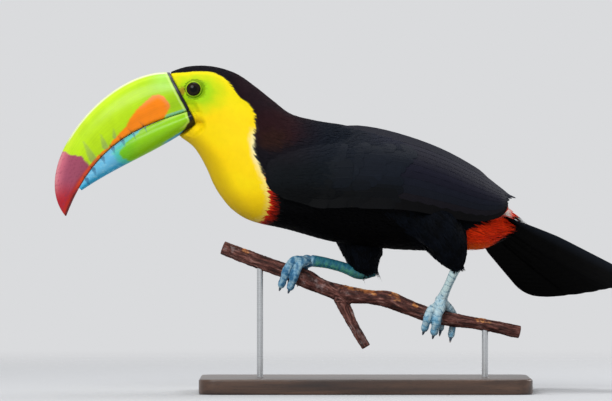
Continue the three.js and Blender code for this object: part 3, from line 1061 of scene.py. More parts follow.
@dataclass(frozen=True)
class WingForm:
    """Outline of a folded wing: arcs from its edge by the spine to its edge on the flank.

    u goes from the wrist to the tip and v from the upper edge to the lower one, both from 0 to 1.

    Args:
        side: which wing.
        upper: the upper edge's [x, half width, z].
        lower: the lower edge's.
        bulges: how far the arc stands out between them.
        length: from the wrist to the tip, in millimetres.
        onward: the way on past the tip.
    """

    side: Side
    upper: Path = (
        (-83, 28, 184), (-74, 24.5, 199), (-55, 18, 208.5), (-26, 11.5, 212.5), (4, 6, 210.5),
        (34, 4.5, 203.3), (63, 4.5, 192.5), (89, 5.5, 178.5), (107, 8, 165.3), (115.5, 11.5, 158.5),
    )  # fmt: skip
    lower: Path = (
        (-82, 30, 176), (-76, 33, 164), (-62, 35.5, 155), (-38, 37, 149.5), (-6, 38, 149), (32, 37.5, 147.5),
        (64, 35, 141.5), (90, 29.5, 137.5), (107, 23, 140.5), (116, 18, 147.5),
    )  # fmt: skip
    bulges: Numbers = (1, 4, 8.5, 12.5, 14.5, 15, 13.5, 10.5, 6.5, 2)
    length: float = 205.0
    onward: tuple[float, float, float] = (0.9, 0.0, -0.35)

    def point(self, u: Array, v: Array, rise: Array) -> Array:
        """Places on the wing: the chord's point, raised square to the chord by bulge times sin(pi v).

        Args:
            u: from the wrist to the tip.
            v: from the upper to the lower edge.
            rise: height over the outline.

        Returns:
            Places in space.
        """
        u, v, rise = np.broadcast_arrays(np.asarray(u, float), v, rise)
        inside = np.clip(u, 0, 1)
        top, low = spline(self.upper, inside), spline(self.lower, inside)
        past = (u - inside)[..., None] * self.length * np.array(self.onward)
        out = unit(np.stack([np.zeros_like(u), top[..., 2] - low[..., 2], low[..., 1] - top[..., 1]], -1))
        height = values(self.bulges, inside) * np.sin(math.pi * np.clip(v, 0, 1)) + rise
        found = top + (low - top) * v[..., None] + out * height[..., None] + past
        x = found[..., 0]
        return np.stack([x, self.side.value * found[..., 1] + bend(x), found[..., 2]], -1)

    def covers(self, places: Array) -> Array:
        """True where a place lies under the wing, well inside its edges.

        Args:
            places: places on the body.

        Returns:
            One truth value for each place.
        """
        x, z = places[..., 0], places[..., 2]
        near = (places[..., 1] - bend(x)) * self.side.value > 3
        upper, lower = np.array(self.upper), np.array(self.lower)
        u = np.interp(x, (upper[:, 0] + lower[:, 0]) / 2, np.linspace(0, 1, len(upper)))
        top, low = spline(upper, u), spline(lower, u)
        v = (top[..., 2] - z) / (top[..., 2] - low[..., 2])
        edge = np.interp(u, [0.1, 0.3, 0.5], [0.3, 0.2, 0.1])
        return near & (u > 0.08) & (u < 0.97) & (v > edge) & (v < 0.92)


@dataclass(frozen=True)
class LimbForm:
    """A round limb along a course; u goes along it from 0 to 1, v is the angle round it.

    Args:
        course: its middle line.
        radii: its radius at even steps.
    """

    course: Course
    radii: Numbers

    def point(self, u: Array, v: Array, rise: Array) -> Array:
        """Places at the radius plus the rise round the middle line.

        Args:
            u: along the limb, carried on past its end.
            v: angles round it.
            rise: height over the outline.

        Returns:
            Places in space.
        """
        u, v, rise = np.broadcast_arrays(np.asarray(u, float), v, rise)
        distance = u * self.course.length()
        _, level, other = self.course.frames(distance)
        end = 1 - 0.5 * np.maximum(0, (np.clip(u, 0, 1) - 0.88) / 0.12) ** 2
        reach = (values(self.radii, u) * np.sqrt(end) + rise)[..., None]
        out = level * np.cos(v)[..., None] + other * np.sin(v)[..., None]
        return self.course.at(distance) + reach * out


@dataclass(frozen=True)
class FanForm:
    """The spread tail's middle surface: rays out of a root, from its right edge, -1, to its left one, 1.

    Args:
        root: where the fan's plane starts, [x, z].
        away: degrees that it turns towards +Y.
        droop: degrees that it falls below the level.
        twist: degrees that its left edge is raised.
        half_spread: degrees from the middle to an edge.
        length: of the middle feathers.
        rounding: share by which the outer feathers are shorter.
        uneven: share by which the left edge reaches farther than the right one.
        arch: rise of the middle tips over the outer ones.
        root_half: half width at the root.
        vane: half width of an outer feather.
        full_vane: share of the length where it is reached.
        corner: how much the two outer corners are cut back.
    """

    root: tuple[float, float] = (86, 149)
    away: float = 28.8
    droop: float = 32.8
    twist: float = 8.6
    half_spread: float = 22
    length: float = 148
    rounding: float = 0.1
    uneven: float = 0.04
    arch: float = 14
    root_half: float = 14
    vane: float = 13.6
    full_vane: float = 0.42
    corner: float = 5

    def axes(self) -> tuple[Array, Array, Array]:
        """The fan's middle ray, the way to its left edge, and the way up out of it.

        Returns:
            Three directions, square to each other.
        """
        a, d, t = (math.radians(x) for x in (self.away, self.droop, -self.twist))
        axis = np.array([math.cos(a) * math.cos(d), math.sin(a) * math.cos(d), -math.sin(d)])
        level = np.array([math.sin(a), -math.cos(a), 0.0])
        left = level * math.cos(t) + np.cross(axis, level) * math.sin(t)
        return axis, left, np.cross(left, axis)

    def reach(self, c: Array) -> Array:
        """How far the ray at c goes."""
        share = 1 - self.rounding * c**2 + self.uneven * c**3
        return self.length * share - self.corner * (np.maximum(0, np.abs(c) - 0.9) / 0.1) ** 2

    def point(self, c: Array, run: Array, rise: Array) -> Array:
        """Places on the fan: along the ray, out by the vane's growing width, up by the arch.

        Args:
            c: which ray, from -1 to 1.
            run: distance along it.
            rise: height over the middle surface.

        Returns:
            Places in space.
        """
        c, run, rise = np.broadcast_arrays(np.asarray(c, float), run, rise)
        axis, left, up = self.axes()
        angle = c * math.radians(self.half_spread)
        out = run / self.length
        vane = self.vane * np.minimum(1, out / self.full_vane) * c * np.abs(c)
        side = c * self.root_half + run * np.sin(angle) + vane
        height = self.arch * out**2 * (1 - c**2) + rise
        start = np.array([self.root[0], bend(np.array(self.root[0])), self.root[1]])
        flat = start + (run * np.cos(angle))[..., None] * axis + side[..., None] * left
        return flat + height[..., None] * up


AHEAD = (1.0, 0.0, 0.0)
BODY = BodyForm()
WINGS = {side: WingForm(side) for side in Side}
FAN = FanForm()
THIGHS = {
    Side.RIGHT: LimbForm(
        Course(((-15, 13, 147), (-8, 15, 130), (-2, 15, 114), (0, 14.5, 104), (3.6, 13.8, 95)), AHEAD),
        (8, 17.5, 17.2, 15.2, 9.5),
    ),
    Side.LEFT: LimbForm(
        Course(((46, -14, 148), (56, -17, 134), (66, -18, 117), (71, -18, 106), (73.8, -18, 99)), AHEAD),
        (8, 17.5, 17.6, 14, 6.8),
    ),
}
EYE_AT = np.array([-136.8, 242.0])
EYE_DEPTH = 12.7
EYE_RADIUS = 7.2


# ------------------------------------------------------------------ markings


@dataclass(frozen=True)
class Markings:
    """The plumage's colours by place, for skin and feathers alike.

    Args:
        bib: outline of the yellow bib and cheek from the side, [x, z], from the bill's top to the breast.
    """

    bib: Line = (
        (-170, 254), (-155, 254.6), (-145, 255.2), (-136.5, 256.2), (-127.5, 256.2), (-121.4, 255.4),
        (-115, 252.2), (-109.8, 248.2), (-106.2, 243.4), (-101.8, 237.1), (-96.5, 233.1), (-92, 228.2),
        (-89.4, 222.1), (-88.9, 215.8), (-89.4, 208.7), (-90.6, 203.4), (-89.8, 195.4), (-87.5, 185.6),
        (-84.5, 178.5), (-81.8, 171.4), (-80.5, 165.1), (-79.5, 157.1), (-80, 149.1), (-81.8, 143),
        (-85.8, 138.5), (-92, 135.5), (-100, 120), (-220, 120), (-220, 254),
    )  # fmt: skip

    def inside_bib(self, x: Array, z: Array) -> Array:
        """Distance inside the bib's outline, negative outside it."""
        return inside_outline(self.bib, x, z)

    def round_eye(self, x: Array, z: Array) -> Array:
        """Distance from the eye's middle, seen from the side."""
        return np.hypot(x - EYE_AT[0], z - EYE_AT[1])

    def bare(self, places: Array) -> Array:
        """1 on the naked skin round the eye, 0 where feathers grow.

        Args:
            places: rows of places.

        Returns:
            One share for each place.
        """
        x, z = places[..., 0], places[..., 2]
        oval = np.hypot((x - EYE_AT[0] - 0.5) / 10.5, (z - EYE_AT[1]) / 9.5)
        return 1 - fade(0.8, 1.05, oval)

    def at(self, places: Array) -> Array:
        """The coat's colour.

        Args:
            places: rows of places in millimetres.

        Returns:
            Rows of linear colours.
        """
        x, _, z = places.T
        wander = 0.6 * ripple(places, 7, 5) + 0.2 * ripple(places, 2.4, 6)
        inside = self.inside_bib(x, z) + wander * fade(246, 225, z)
        red_width = np.interp(z, [136, 140, 146, 157, 165, 176], [5, 6.6, 6.4, 4.4, 3.0, 0.0])
        into_red = fade(0.2, 1.0, -inside / np.maximum(red_width, 0.1))
        band = blend_to(plain("#C22203", len(x)), into_red, "#5A0D08")
        red = fade(-0.6, 0.4, inside + red_width) * (z < 177)
        below = blend_to(self.dark_plumage(places), red, "#000000") + band * red[:, None]
        return mix(below, self.yellow_plumage(places, inside), fade(-0.35, 0.35, inside))

    def yellow_plumage(self, places: Array, inside: Array) -> Array:
        """Golden bib, lime skin round the eye, the bib's pale rear edge, and ochre painted shade low on the
        bib and along its front edge.

        Args:
            places: rows of places.
            inside: distance inside the bib's edge.

        Returns:
            Rows of linear colours.
        """
        x, _, z = places.T
        # x of the bib's front edge at each height, along which a painted shade darkens the yellow
        shaded_front = np.interp(z, [140, 166, 188, 205, 225], [-100, -116, -126, -141, -170])
        pale = np.interp(z, [150, 165, 180, 196, 206, 214], [0.2, 0.5, 0.6, 1.0, 0.8, 0.0])
        face = np.hypot((x + 136) / 21, (z - 240.5) / 15) + 0.07 * ripple(places, 9, 11)
        lores = np.hypot((x + 146.2) / 2.2, (z - 240.5) / 3.4)
        return layered(
            plain("#FFD800", len(x)),
            (0.5 * fade(-0.6, 1, ripple(places, 26, 9)), "#FFE004"),
            # painted shade: darker gold towards the bottom of the bib and ochre along its front edge
            (0.8 * fade(168, 138, z), "#E2BA00"),
            (0.8 * fade(16, 0, x - shaded_front), "#D0AC00"),
            (0.8 * fade(213, 238, z), "#F4E400"),
            (0.8 * (fade(5.5, 0.8, inside) * pale), "#F2ECC0"),
            (0.9 * fade(1.5, 0.8, face) * fade(0.4, 3.4, inside), "#D2DC04"),
            (0.85 * fade(0.95, 0.45, face), "#9AD608"),
            (0.85 * fade(1.5, 0.5, lores), "#A07A1A"),
        )

    def wing_plumage(self, places: Array) -> Array:
        """Black crown, maroon-tinged neck, slate back and wings, black belly; a painted highlight along the
        back and painted shade low down.

        Args:
            places: rows of places.

        Returns:
            Rows of linear colours.
        """
        x, _, z = places.T
        neck = fade(-116, -98, x) * fade(-22, -58, x) * fade(196, 208, z) * (1 + 0.3 * ripple(places, 8, 13))
        maroon = np.hypot((x + 74) / 24, (z - 213) / 17) + 0.15 * ripple(places, 12, 14)
        russet = np.hypot((x + 76) / 15, (z - 203) / 11) + 0.15 * ripple(places, 6, 15)
        breast = 0.8 * fade(-95, -70, x) * fade(0, -45, x) * fade(196, 176, z) * fade(146, 153, z)
        return layered(
            plain("#17141A", len(x)),
            (neck, "#24161C"),
            (0.8 * fade(1.2, 0.3, maroon), "#2C1619"),
            (0.85 * fade(1.2, 0.3, russet), "#2E1B16"),
            (fade(-66, -30, x) * fade(146, 156, z), "#11161F"),
            (breast, "#0A1013"),
            (0.7 * fade(20, 70, x) * fade(150, 170, z), "#191725"),
            # partly the back's purple-slate tinge, partly a painted highlight along the top of the back
            (0.5 * fade(-10, 30, x) * fade(194, 206, z), "#2B2A3B"),
            # painted shade: the underside darker towards the bottom and under the rear, down to near black
            (0.9 * fade(174, 158, z) * fade(45, 5, x) * (x > -84), "#050607"),
            (fade(150, 142, z) * (x > -84), "#020203"),
            (0.8 * fade(25, 45, x) * fade(140, 134, z) * fade(94, 84, x), "#080B11"),
        )

    def dark_plumage(self, places: Array) -> Array:
        """The wing's and back's colours, with red and white coverts round the tail and a painted shadow under
        the wing's lower edge.

        Args:
            places: rows of places.

        Returns:
            Rows of linear colours.
        """
        x, y, z = places.T
        wander = 1.2 * ripple(places, 3, 18)
        # the red begins only this far down, so a black band under the wing's lower edge is left as a painted
        # shadow
        top = np.interp(x, [76, 80, 90, 96, 102, 110, 118], [128, 131, 135, 137, 140, 145, 148])
        heights, ends = [112, 117, 122, 126, 131, 136, 141, 148], [96, 99, 105, 109, 113.5, 115.5, 118, 119.5]
        under = fade(74, 78, x + 0.1 * (z - 120) + wander) * fade(2, -2, z - top + wander)
        under = under * fade(0.6, -0.6, x - np.interp(z, heights, ends) + 0.5 * wander)
        red = layered(
            plain("#FC3A08", len(x)),
            (0.7 * fade(-1, 1.2, ripple(places, 7, 19)), "#D41C04"),
            (0.8 * fade(124, 113, z) * fade(104, 84, x), "#F46A10"),
        )
        middle, _, _ = BODY.ring(np.interp(x, [90, 112], [12.4, 14]))
        above = fade(8, 11, z - middle[:, 1]) * fade(101, 105, x) * fade(117, 114, x)
        above = above * fade(13, 9, np.abs(y - bend(x)))
        return blend_to(mix(self.wing_plumage(places), red, under), above, "#E8DCD2")


MARKINGS = Markings()


# ------------------------------------------------------------------ feathers


@dataclass(frozen=True)
class VaneShape:
    """A closed vane: flat-bottomed arcs across it at stations along it, ending in a point.

    Args:
        across: places over the breadth, from -1 to 1.
        crown: height of each place, as a share of the vane's crown.
        along: the stations, as shares of the length.
        breadth: share of the width at each station.
    """

    across: Numbers
    crown: Numbers
    along: Numbers
    breadth: Numbers

    def count(self) -> int:
        """Vertices of one vane."""
        return len(self.across) * len(self.along) + 1

    def faces(self, vanes: int) -> list[Array]:
        """Quads between the stations, and triangles that close the tip and the root.

        Args:
            vanes: how many vanes.

        Returns:
            Quads and triangles of them all.
        """
        c, k = len(self.across), len(self.along)
        j = np.arange(c)
        tip = np.stack([(k - 1) * c + j, (k - 1) * c + (j + 1) % c, np.full(c, k * c)], 1)
        root = np.stack([np.zeros(c - 2, int), np.arange(2, c), np.arange(1, c - 1)], 1)
        shift = (np.arange(vanes) * self.count())[:, None, None]
        quads = grid_quads(k, c, wrap=True)[None] + shift
        return [quads.reshape(-1, 4), (np.concatenate([tip, root])[None] + shift).reshape(-1, 3)]

    def layout(self) -> tuple[Array, Array, Array]:
        """Each vertex's share of the length, of the half width and of the crown.

        Returns:
            The three shares of each vertex.
        """
        along = np.concatenate([np.repeat(self.along, len(self.across)), [1.0]])
        side = np.append(np.outer(self.breadth, self.across).ravel(), 0.0)
        return along, side, np.append(np.outer(self.breadth, self.crown).ravel(), 0.0)

    def map(self) -> Array:
        """Each vertex's place over the breadth and along the length, both from 0 to 1."""
        along, across = np.meshgrid(self.along, 0.5 + 0.5 * np.array(self.across), indexing="ij")
        return np.concatenate([np.stack([across.ravel(), along.ravel()], 1), [[0.5, 1.0]]])


HAIR = VaneShape((-1, 0, 1), (0, 1, 0), (0, 0.35, 0.72), (0.7, 1.0, 0.6))
TUFT = VaneShape((-1, 0, 1), (0, 1, 0), (0, 0.3, 0.62, 0.88), (0.6, 1.0, 0.95, 0.5))
QUILL = VaneShape(
    (-1, -0.55, -0.08, 0, 0.08, 0.55, 1),
    (0, 0.55, 0.7, 1.35, 0.7, 0.55, 0),
    (
        0, 0.05, 0.1, 0.16, 0.22, 0.28, 0.35, 0.42, 0.49, 0.56,
        0.63, 0.7, 0.77, 0.83, 0.88, 0.92, 0.955, 0.98, 0.993,
    ),  # fmt: skip
    (0.45, 0.6, 0.75, 0.87, 0.94, 0.98, 1, 1, 1, 1, 1, 1, 0.99, 0.96, 0.9, 0.8, 0.64, 0.46, 0.26),
)
RECTRIX = VaneShape(
    QUILL.across,
    QUILL.crown,
    (
        0, 0.06, 0.12, 0.19, 0.26, 0.33, 0.4, 0.47, 0.54, 0.61,
        0.68, 0.75, 0.82, 0.88, 0.925, 0.955, 0.975, 0.988, 0.996,
    ),  # fmt: skip
    (0.4, 0.6, 0.78, 0.9, 0.97, 1, 1, 1, 1, 1, 1, 1, 1, 1, 0.97, 0.9, 0.78, 0.6, 0.36),
)


@dataclass
class Roots:
    """Where feathers grow on a form and how big each is: one value for each root, or one for all.

    Args:
        form: the form with its point method.
        u: first coordinate of each root.
        v: second coordinate.
        length: of the vane, in millimetres.
        width: of the vane.
        crown: how far its middle stands over its edges.
        depth: how far its root lies under the outline.
        lift: how far its tip stands over the outline.
        lean: angle that it is turned from the lie of the coat.
        drift: share of the second direction in the lie of the coat.
    """

    form: object
    u: Array
    v: Array
    length: Array | float
    width: Array | float
    crown: Array | float
    depth: Array | float
    lift: Array | float
    lean: Array | float
    drift: Array | float = 0.0

    def __post_init__(self) -> None:
        """Spreads single values over all roots."""
        for one in fields(self)[2:]:
            setattr(self, one.name, np.broadcast_to(getattr(self, one.name), self.u.shape).astype(float))

    def kept(self, keep: Array) -> "Roots":
        """The roots for which keep is true."""
        return Roots(self.form, *(getattr(self, one.name)[keep] for one in fields(self)[1:]))

    def places(self) -> Array:
        """Where the roots are on the outline."""
        return self.form.point(self.u, self.v, np.zeros_like(self.u))

    def vanes(self, shape: VaneShape) -> Array:
        """Lays a vane at each root along the form.

        A place a ahead and b across a root has the root's coordinates plus those steps that the form's
        own slopes turn a and b into; it rises from the root's depth to the tip's lift.

        Args:
            shape: the vanes' shape.

        Returns:
            Places as [root, vertex, xyz].
        """
        step = 1e-3
        at = self.places()
        pu = (self.form.point(self.u + step, self.v, np.zeros_like(self.u)) - at) / step
        pv = (self.form.point(self.u, self.v + step, np.zeros_like(self.u)) - at) / step
        normal = unit(np.cross(pu, pv))
        ahead = unit(unit(pu) + self.drift[:, None] * unit(pv))
        turned = np.cos(self.lean)[:, None] * ahead + np.sin(self.lean)[:, None] * np.cross(normal, ahead)
        across = np.cross(normal, turned)
        e, f, g = (pu * pu).sum(-1), (pu * pv).sum(-1), (pv * pv).sum(-1)
        size = np.maximum(e * g - f * f, 0.4 * e * g)

        def steps(way: Array) -> tuple[Array, Array]:
            """Coordinate steps that go one millimetre along a direction."""
            p, q = (way * pu).sum(-1), (way * pv).sum(-1)
            return (p * g - q * f) / size, (q * e - p * f) / size

        (au, av), (bu, bv) = steps(turned), steps(across)
        along, side, crown = shape.layout()
        a = self.length[:, None] * along
        b = self.width[:, None] / 2 * side
        u = self.u[:, None] + a * au[:, None] + b * bu[:, None]
        v = self.v[:, None] + a * av[:, None] + b * bv[:, None]
        slope = along**0.85
        rise = -self.depth[:, None] * (1 - slope) + self.lift[:, None] * slope + self.crown[:, None] * crown
        return self.form.point(u, v, rise)


def brick_rows(
    form: object,
    span: tuple[float, float],
    turn: tuple[float, float],
    row_gap: tuple[Numbers, Numbers],
    side_gap: tuple[Numbers, Numbers],
    seed: int,
) -> tuple[Array, Array]:
    """Staggered rows of roots over a form.

    Rows follow each other by the row gap along the form's mean line, and each row holds as many roots
    as its own mean girth gives at the side gap. Both are a little uneven.

    Args:
        form: the form.
        span: first and last u.
        turn: first and last v.
        row_gap: u values and the gap between rows there, in millimetres.
        side_gap: u values and the gap between neighbours there.
        seed: of the unevenness.

    Returns:
        The roots' u and v.
    """
    rng = np.random.default_rng(seed)
    u = np.linspace(*span, 160)
    v = np.linspace(*turn, 25)
    places = form.point(u[:, None], v[None, :], np.zeros((160, 25)))
    ahead = np.linalg.norm(np.gradient(places, u, axis=0), axis=-1).mean(1)
    girth = np.linalg.norm(np.diff(places, axis=1), axis=-1).sum(1)
    density = ahead / np.interp(u, *row_gap)
    run = np.concatenate([[0], np.cumsum((density[1:] + density[:-1]) / 2 * np.diff(u))])
    rows = np.interp(np.arange(0.5, run[-1]), run, u)
    counts = np.maximum(2, np.round(np.interp(rows, u, girth) / np.interp(rows, *side_gap))).astype(int)
    row = np.repeat(np.arange(len(rows)), counts)
    place = np.arange(counts.sum()) - np.repeat(np.cumsum(counts) - counts, counts)
    uneven = rng.uniform(-0.3, 0.3, (2, len(row)))
    share = (place + 0.5 * (row % 2) + uneven[0]) / counts[row]
    gap_u = np.interp(row + 0.5 + uneven[1], np.arange(len(rows)) + 0.5, rows)
    return gap_u, turn[0] + (turn[1] - turn[0]) * share


def coat_piece(
    name: str,
    vanes: Array,
    shape: VaneShape,
    roots_at: Array,
    tints: Array,
    finish: Material,
    seed: int,
    shade: float,
    *nodes: str,
    slot: str = "black_plumage",
) -> Piece:
    """Makes one piece of the coat with its colours and maps.

    Args:
        name: the piece's name.
        vanes: places as [vane, vertex, xyz].
        shape: the vanes' shape.
        roots_at: each root's place on the unwrapped skin.
        tints: each vane's linear colour, or one for each of its vertices.
        finish: its material.
        seed: of the small differences between vanes.
        shade: how much painted shade darkens the roots and edges of the vanes.
        nodes: the solids that it stands for.
        slot: handed on to dress.

    Returns:
        The piece, riding on the bird.
    """
    rng = np.random.default_rng(seed)
    count = len(vanes)
    piece = put_mesh(name, vanes.reshape(-1, 3), shape.faces(count))
    piece.data.shade_flat()
    chart = shape.map()
    # each vane's random tone times painted light and shade: darker towards the root and the edges, a little
    # lighter along the middle
    tone_and_shade = rng.normal(1, 0.25 * shade, (count, 1)) * (1.02 - shade * (1 - chart[None, :, 1] ** 0.6))
    tone_and_shade = tone_and_shade * (1 + 0.1 * shade - 0.35 * shade * np.abs(chart[None, :, 0] - 0.5) * 2)
    tints = tints if tints.ndim == 3 else tints[:, None, :]
    tint(piece, "Tint", np.clip(tints * tone_and_shade[..., None], 0, 1).reshape(-1, 3))
    low, high = roots_at.min(0), roots_at.max(0)
    centres = 0.01 + 0.98 * (roots_at - low) / np.maximum(high - low, 1e-9)
    patches = centres[:, None, :] + 0.003 * (chart[None] - 0.5)
    unwrap(piece, "OFBake", patches.reshape(-1, 2))
    unwrap(piece, "Vane", np.tile(chart, (count, 1)))
    return dress(piece, finish, slot, *nodes)


class Plumage(Enum):
    """The kinds of small feathers on the body, as the record's slots name their finish."""

    YELLOW = "yellow_plumage"
    BLACK = "black_plumage"
    RED = "red_plumage"


@dataclass
class BodyCoat:
    """The small feathers of head, neck, trunk and rump.

    Sizes are read at station numbers of the body, so that they grow from the face to the back.

    Args:
        stations: where the sizes are stated.
        row_gap: between rows, in millimetres.
        side_gap: between neighbours in a row.
        length: of a feather.
        width: of a feather.
        depth: of its root under the outline.
        zones: name, kind and last station of each piece of the coat; each kind ends with 15, past the tail's
            root.
        shades: how much painted shade darkens the roots and edges of each kind's vanes.
    """

    stations: Numbers = (0, 1.5, 3, 5, 6.5, 8, 12, 14)
    row_gap: Numbers = (0.7, 0.8, 1.0, 1.3, 1.6, 2.2, 2.4, 2.0)
    side_gap: Numbers = (0.6, 0.62, 0.7, 0.85, 1.0, 1.4, 1.4, 1.0)
    length: Numbers = (2.2, 2.8, 4.2, 6.0, 7.5, 9.5, 11.0, 12.0)
    width: Numbers = (0.7, 0.8, 1.0, 1.3, 1.6, 2.2, 2.0, 1.3)
    depth: Numbers = (0.3, 0.45, 0.7, 1.0, 1.3, 1.8, 2.1, 2.0)
    zones: tuple[tuple[str, Plumage, float], ...] = (
        ("bib_face", Plumage.YELLOW, 2.6),
        ("bib_throat", Plumage.YELLOW, 4.4),
        ("bib_breast", Plumage.YELLOW, 9.0),
        ("coat_rump", Plumage.YELLOW, 15),
        ("coat_crown", Plumage.BLACK, 3.0),
        ("coat_nape", Plumage.BLACK, 4.8),
        ("coat_mantle", Plumage.BLACK, 6.8),
        ("coat_flank", Plumage.BLACK, 10.0),
        ("coat_belly", Plumage.BLACK, 15),
        ("coat_red", Plumage.RED, 15),
    )
    shades: Numbers = (0.02, 0.2, 0.5)

    def read(self, sizes: Numbers, u: Array) -> Array:
        """A size at station numbers."""
        return np.interp(u, self.stations, sizes)

    def roots(self) -> tuple[Roots, Array]:
        """All roots that something else doesn't cover, and the index of each one's kind.

        Returns:
            The roots and their kinds.
        """
        gaps = (self.stations, self.row_gap), (self.stations, self.side_gap)
        u, v = brick_rows(BODY, (0.03, 13.9), (-math.pi, math.pi), *gaps, seed=31)
        rng = np.random.default_rng(7)
        count = len(u)
        where = BODY.point(u, v, np.zeros(count))
        inside = MARKINGS.inside_bib(where[:, 0], where[:, 2])
        tints = MARKINGS.at(where)
        kind = np.where(tints[:, 1] > 0.25, 0, np.where((tints[:, 0] > 0.07) & (tints[:, 2] < 0.05), 2, 1))
        yellow = kind == 0
        length = self.read(self.length, u) * rng.uniform(0.8, 1.2, count)
        width = self.read(self.width, u) * rng.uniform(0.85, 1.15, count)
        fringe = fade(5, 0.5, np.abs(inside)) * (u > 2.6) * fade(11, 8, u)
        length *= 1 + 0.12 * fringe
        width *= 1 - 0.45 * fringe
        lift = np.where(yellow, rng.normal(0.0, 0.015, count), rng.normal(0.06, 0.06, count)) + 0.1 * fringe
        base = inside_outline(BILL_BASE, where[:, 0], where[:, 2])
        short = fade(-7.5, -1.0, base) * fade(238, 224, where[:, 2])
        length *= 1 - 0.55 * short
        width *= 1 - 0.25 * short
        tail_end = fade(11.4, 12.6, u) * (kind == 2)
        length *= (1 + 0.3 * tail_end) * np.where(yellow & (u > 9), 0.55, 1)
        width *= 1 - 0.35 * (kind == 2) * (u > 9)
        lift += tail_end * rng.uniform(-0.2, 0.7, count)
        crown = np.where(yellow, 0.03, 0.1) * width
        width = width * np.where(yellow, 1.4, 1.0)
        depth = self.read(self.depth, u) * np.where(yellow, 0.28, 0.8)
        lean = rng.normal(0, 1, count) * np.where(yellow, 0.05, 0.12)
        made = Roots(BODY, u, v, length, width, crown, depth, np.clip(lift, -0.1, 1.2), lean)
        hidden = WINGS[Side.LEFT].covers(where) | WINGS[Side.RIGHT].covers(where) | (base > -0.25)
        naked = rng.uniform(0, 1, count) < MARKINGS.bare(where) * 1.02
        keep = ~hidden & ~naked
        return made.kept(keep), kind[keep]

    def build(self, finishes: dict[Plumage, Material]) -> list[Piece]:
        """One piece for each zone and kind, coloured by the place of each vane's middle.

        Args:
            finishes: the material of each kind.

        Returns:
            The pieces.
        """
        roots, kind = self.roots()
        made = []
        start = -1.0
        kinds = list(Plumage)
        for seed, (name, plumage, last) in enumerate(self.zones):
            part = roots.kept((roots.u > start) & (roots.u <= last) & (kind == kinds.index(plumage)))
            start = -1.0 if last == 15 else last
            shape = HAIR if plumage is Plumage.YELLOW or last < 7 else TUFT
            vanes = part.vanes(shape)
            tints = MARKINGS.at(vanes[:, len(shape.across) + 1])
            chart = np.stack([part.v, part.u], 1)
            shade = self.shades[kinds.index(plumage)]
            finish = finishes[plumage]
            made.append(
                coat_piece(name, vanes, shape, chart, tints, finish, 100 + seed, shade, slot=plumage.value)
            )
        return made


def neighbours(cells: Array) -> list[Array]:
    """A table moved by one cell each way, so that each cell meets its four neighbours."""
    return [np.roll(cells, step, axis) for axis in (0, 1) for step in (-1, 1)]


@dataclass
class DrapeForm:
    """The hanging of flank feathers over a thigh: how far out body and thigh reach, seen from the side.

    u goes down from 0 to 1 between a front and a rear line and v from the front one to the rear one.

    Args:
        side: which side.
        front: the front line, [x, z].
        rear: the rear line.
        cell: of the table of depths, in millimetres.
        corner: the table's first corner, [x, z].
        depths: the table.
    """

    side: Side
    front: Line
    rear: Line
    cell: float = 1.5
    corner: Array = field(init=False)
    depths: Array = field(init=False)

    def __post_init__(self) -> None:
        """Fills the table of depths."""
        seen = np.array(self.front + self.rear)
        self.corner = seen.min(0) - 8
        counts = np.ceil((seen.max(0) + 8 - self.corner) / self.cell).astype(int)
        self.depths = self.table(*counts)

    def table(self, wide: int, high: int) -> Array:
        """Looks at body and thigh from the side at each cell; empty cells fall away from their neighbours.

        Args:
            wide: cells along x.
            high: cells along z.

        Returns:
            Distances out from the middle plane, evened out where body and thigh meet.
        """
        turn = np.linspace(-math.pi, math.pi, 80, endpoint=False)
        shells = []
        for form, u in ((BODY, np.linspace(5, 13.5, 110)), (THIGHS[self.side], np.linspace(0, 1, 60))):
            places = form.point(u[:, None], turn[None], np.zeros((len(u), len(turn))))
            shells.append((places.reshape(-1, 3), [grid_quads(len(u), len(turn), wrap=True)]))
        vertices, faces = merge(shells)
        tree = BVHTree.FromPolygons(vertices.tolist(), np.concatenate(faces).tolist())
        found = np.full((wide, high), np.nan)
        side = self.side.value
        for i in range(wide):
            for j in range(high):
                x, z = self.corner + self.cell * np.array([i, j])
                hit = tree.ray_cast(Vector((x, 300 * side, z)), Vector((0, -side, 0)))[0]
                found[i, j] = np.nan if hit is None else hit.y * side
        for _ in range(12):
            wide_found = np.pad(found, 1, constant_values=np.nan)
            near = np.stack(neighbours(wide_found))[:, 1:-1, 1:-1]
            known = ~np.isnan(near)
            mean = np.where(known, near, 0).sum(0) / np.maximum(known.sum(0), 1) - 1.2
            found = np.where(np.isnan(found) & known.any(0), mean, found)
        found = np.nan_to_num(found, nan=0.0)
        even = found
        for _ in range(90):
            even = sum(neighbours(even)) / 4
        return np.maximum(found, even)

    def point(self, u: Array, v: Array, rise: Array) -> Array:
        """Places at the depth read from the table plus the rise.

        Args:
            u: from 0, the top, to 1.
            v: from the front line to the rear one.
            rise: height over the table's depth.

        Returns:
            Places in space.
        """
        u, v, rise = np.broadcast_arrays(np.asarray(u, float), v, rise)
        lines = (tuple((x, 0.0, z) for x, z in line) for line in (self.front, self.rear))
        courses = (Course(line, (0.0, 1.0, 0.0)) for line in lines)
        front, rear = (course.at(u * course.length()) for course in courses)
        places = front + (rear - front) * v[..., None]
        cell = (places[..., ::2] - self.corner) / self.cell
        cell = np.clip(cell, 0, np.array(self.depths.shape) - 1.001)
        low = cell.astype(int)
        (a, b), (i, j) = np.moveaxis(cell - low, -1, 0), np.moveaxis(low, -1, 0)
        left = self.depths[i, j] * (1 - b) + self.depths[i, j + 1] * b
        right = self.depths[i + 1, j] * (1 - b) + self.depths[i + 1, j + 1] * b
        places[..., 1] = self.side.value * (left * (1 - a) + right * a + rise)
        return places


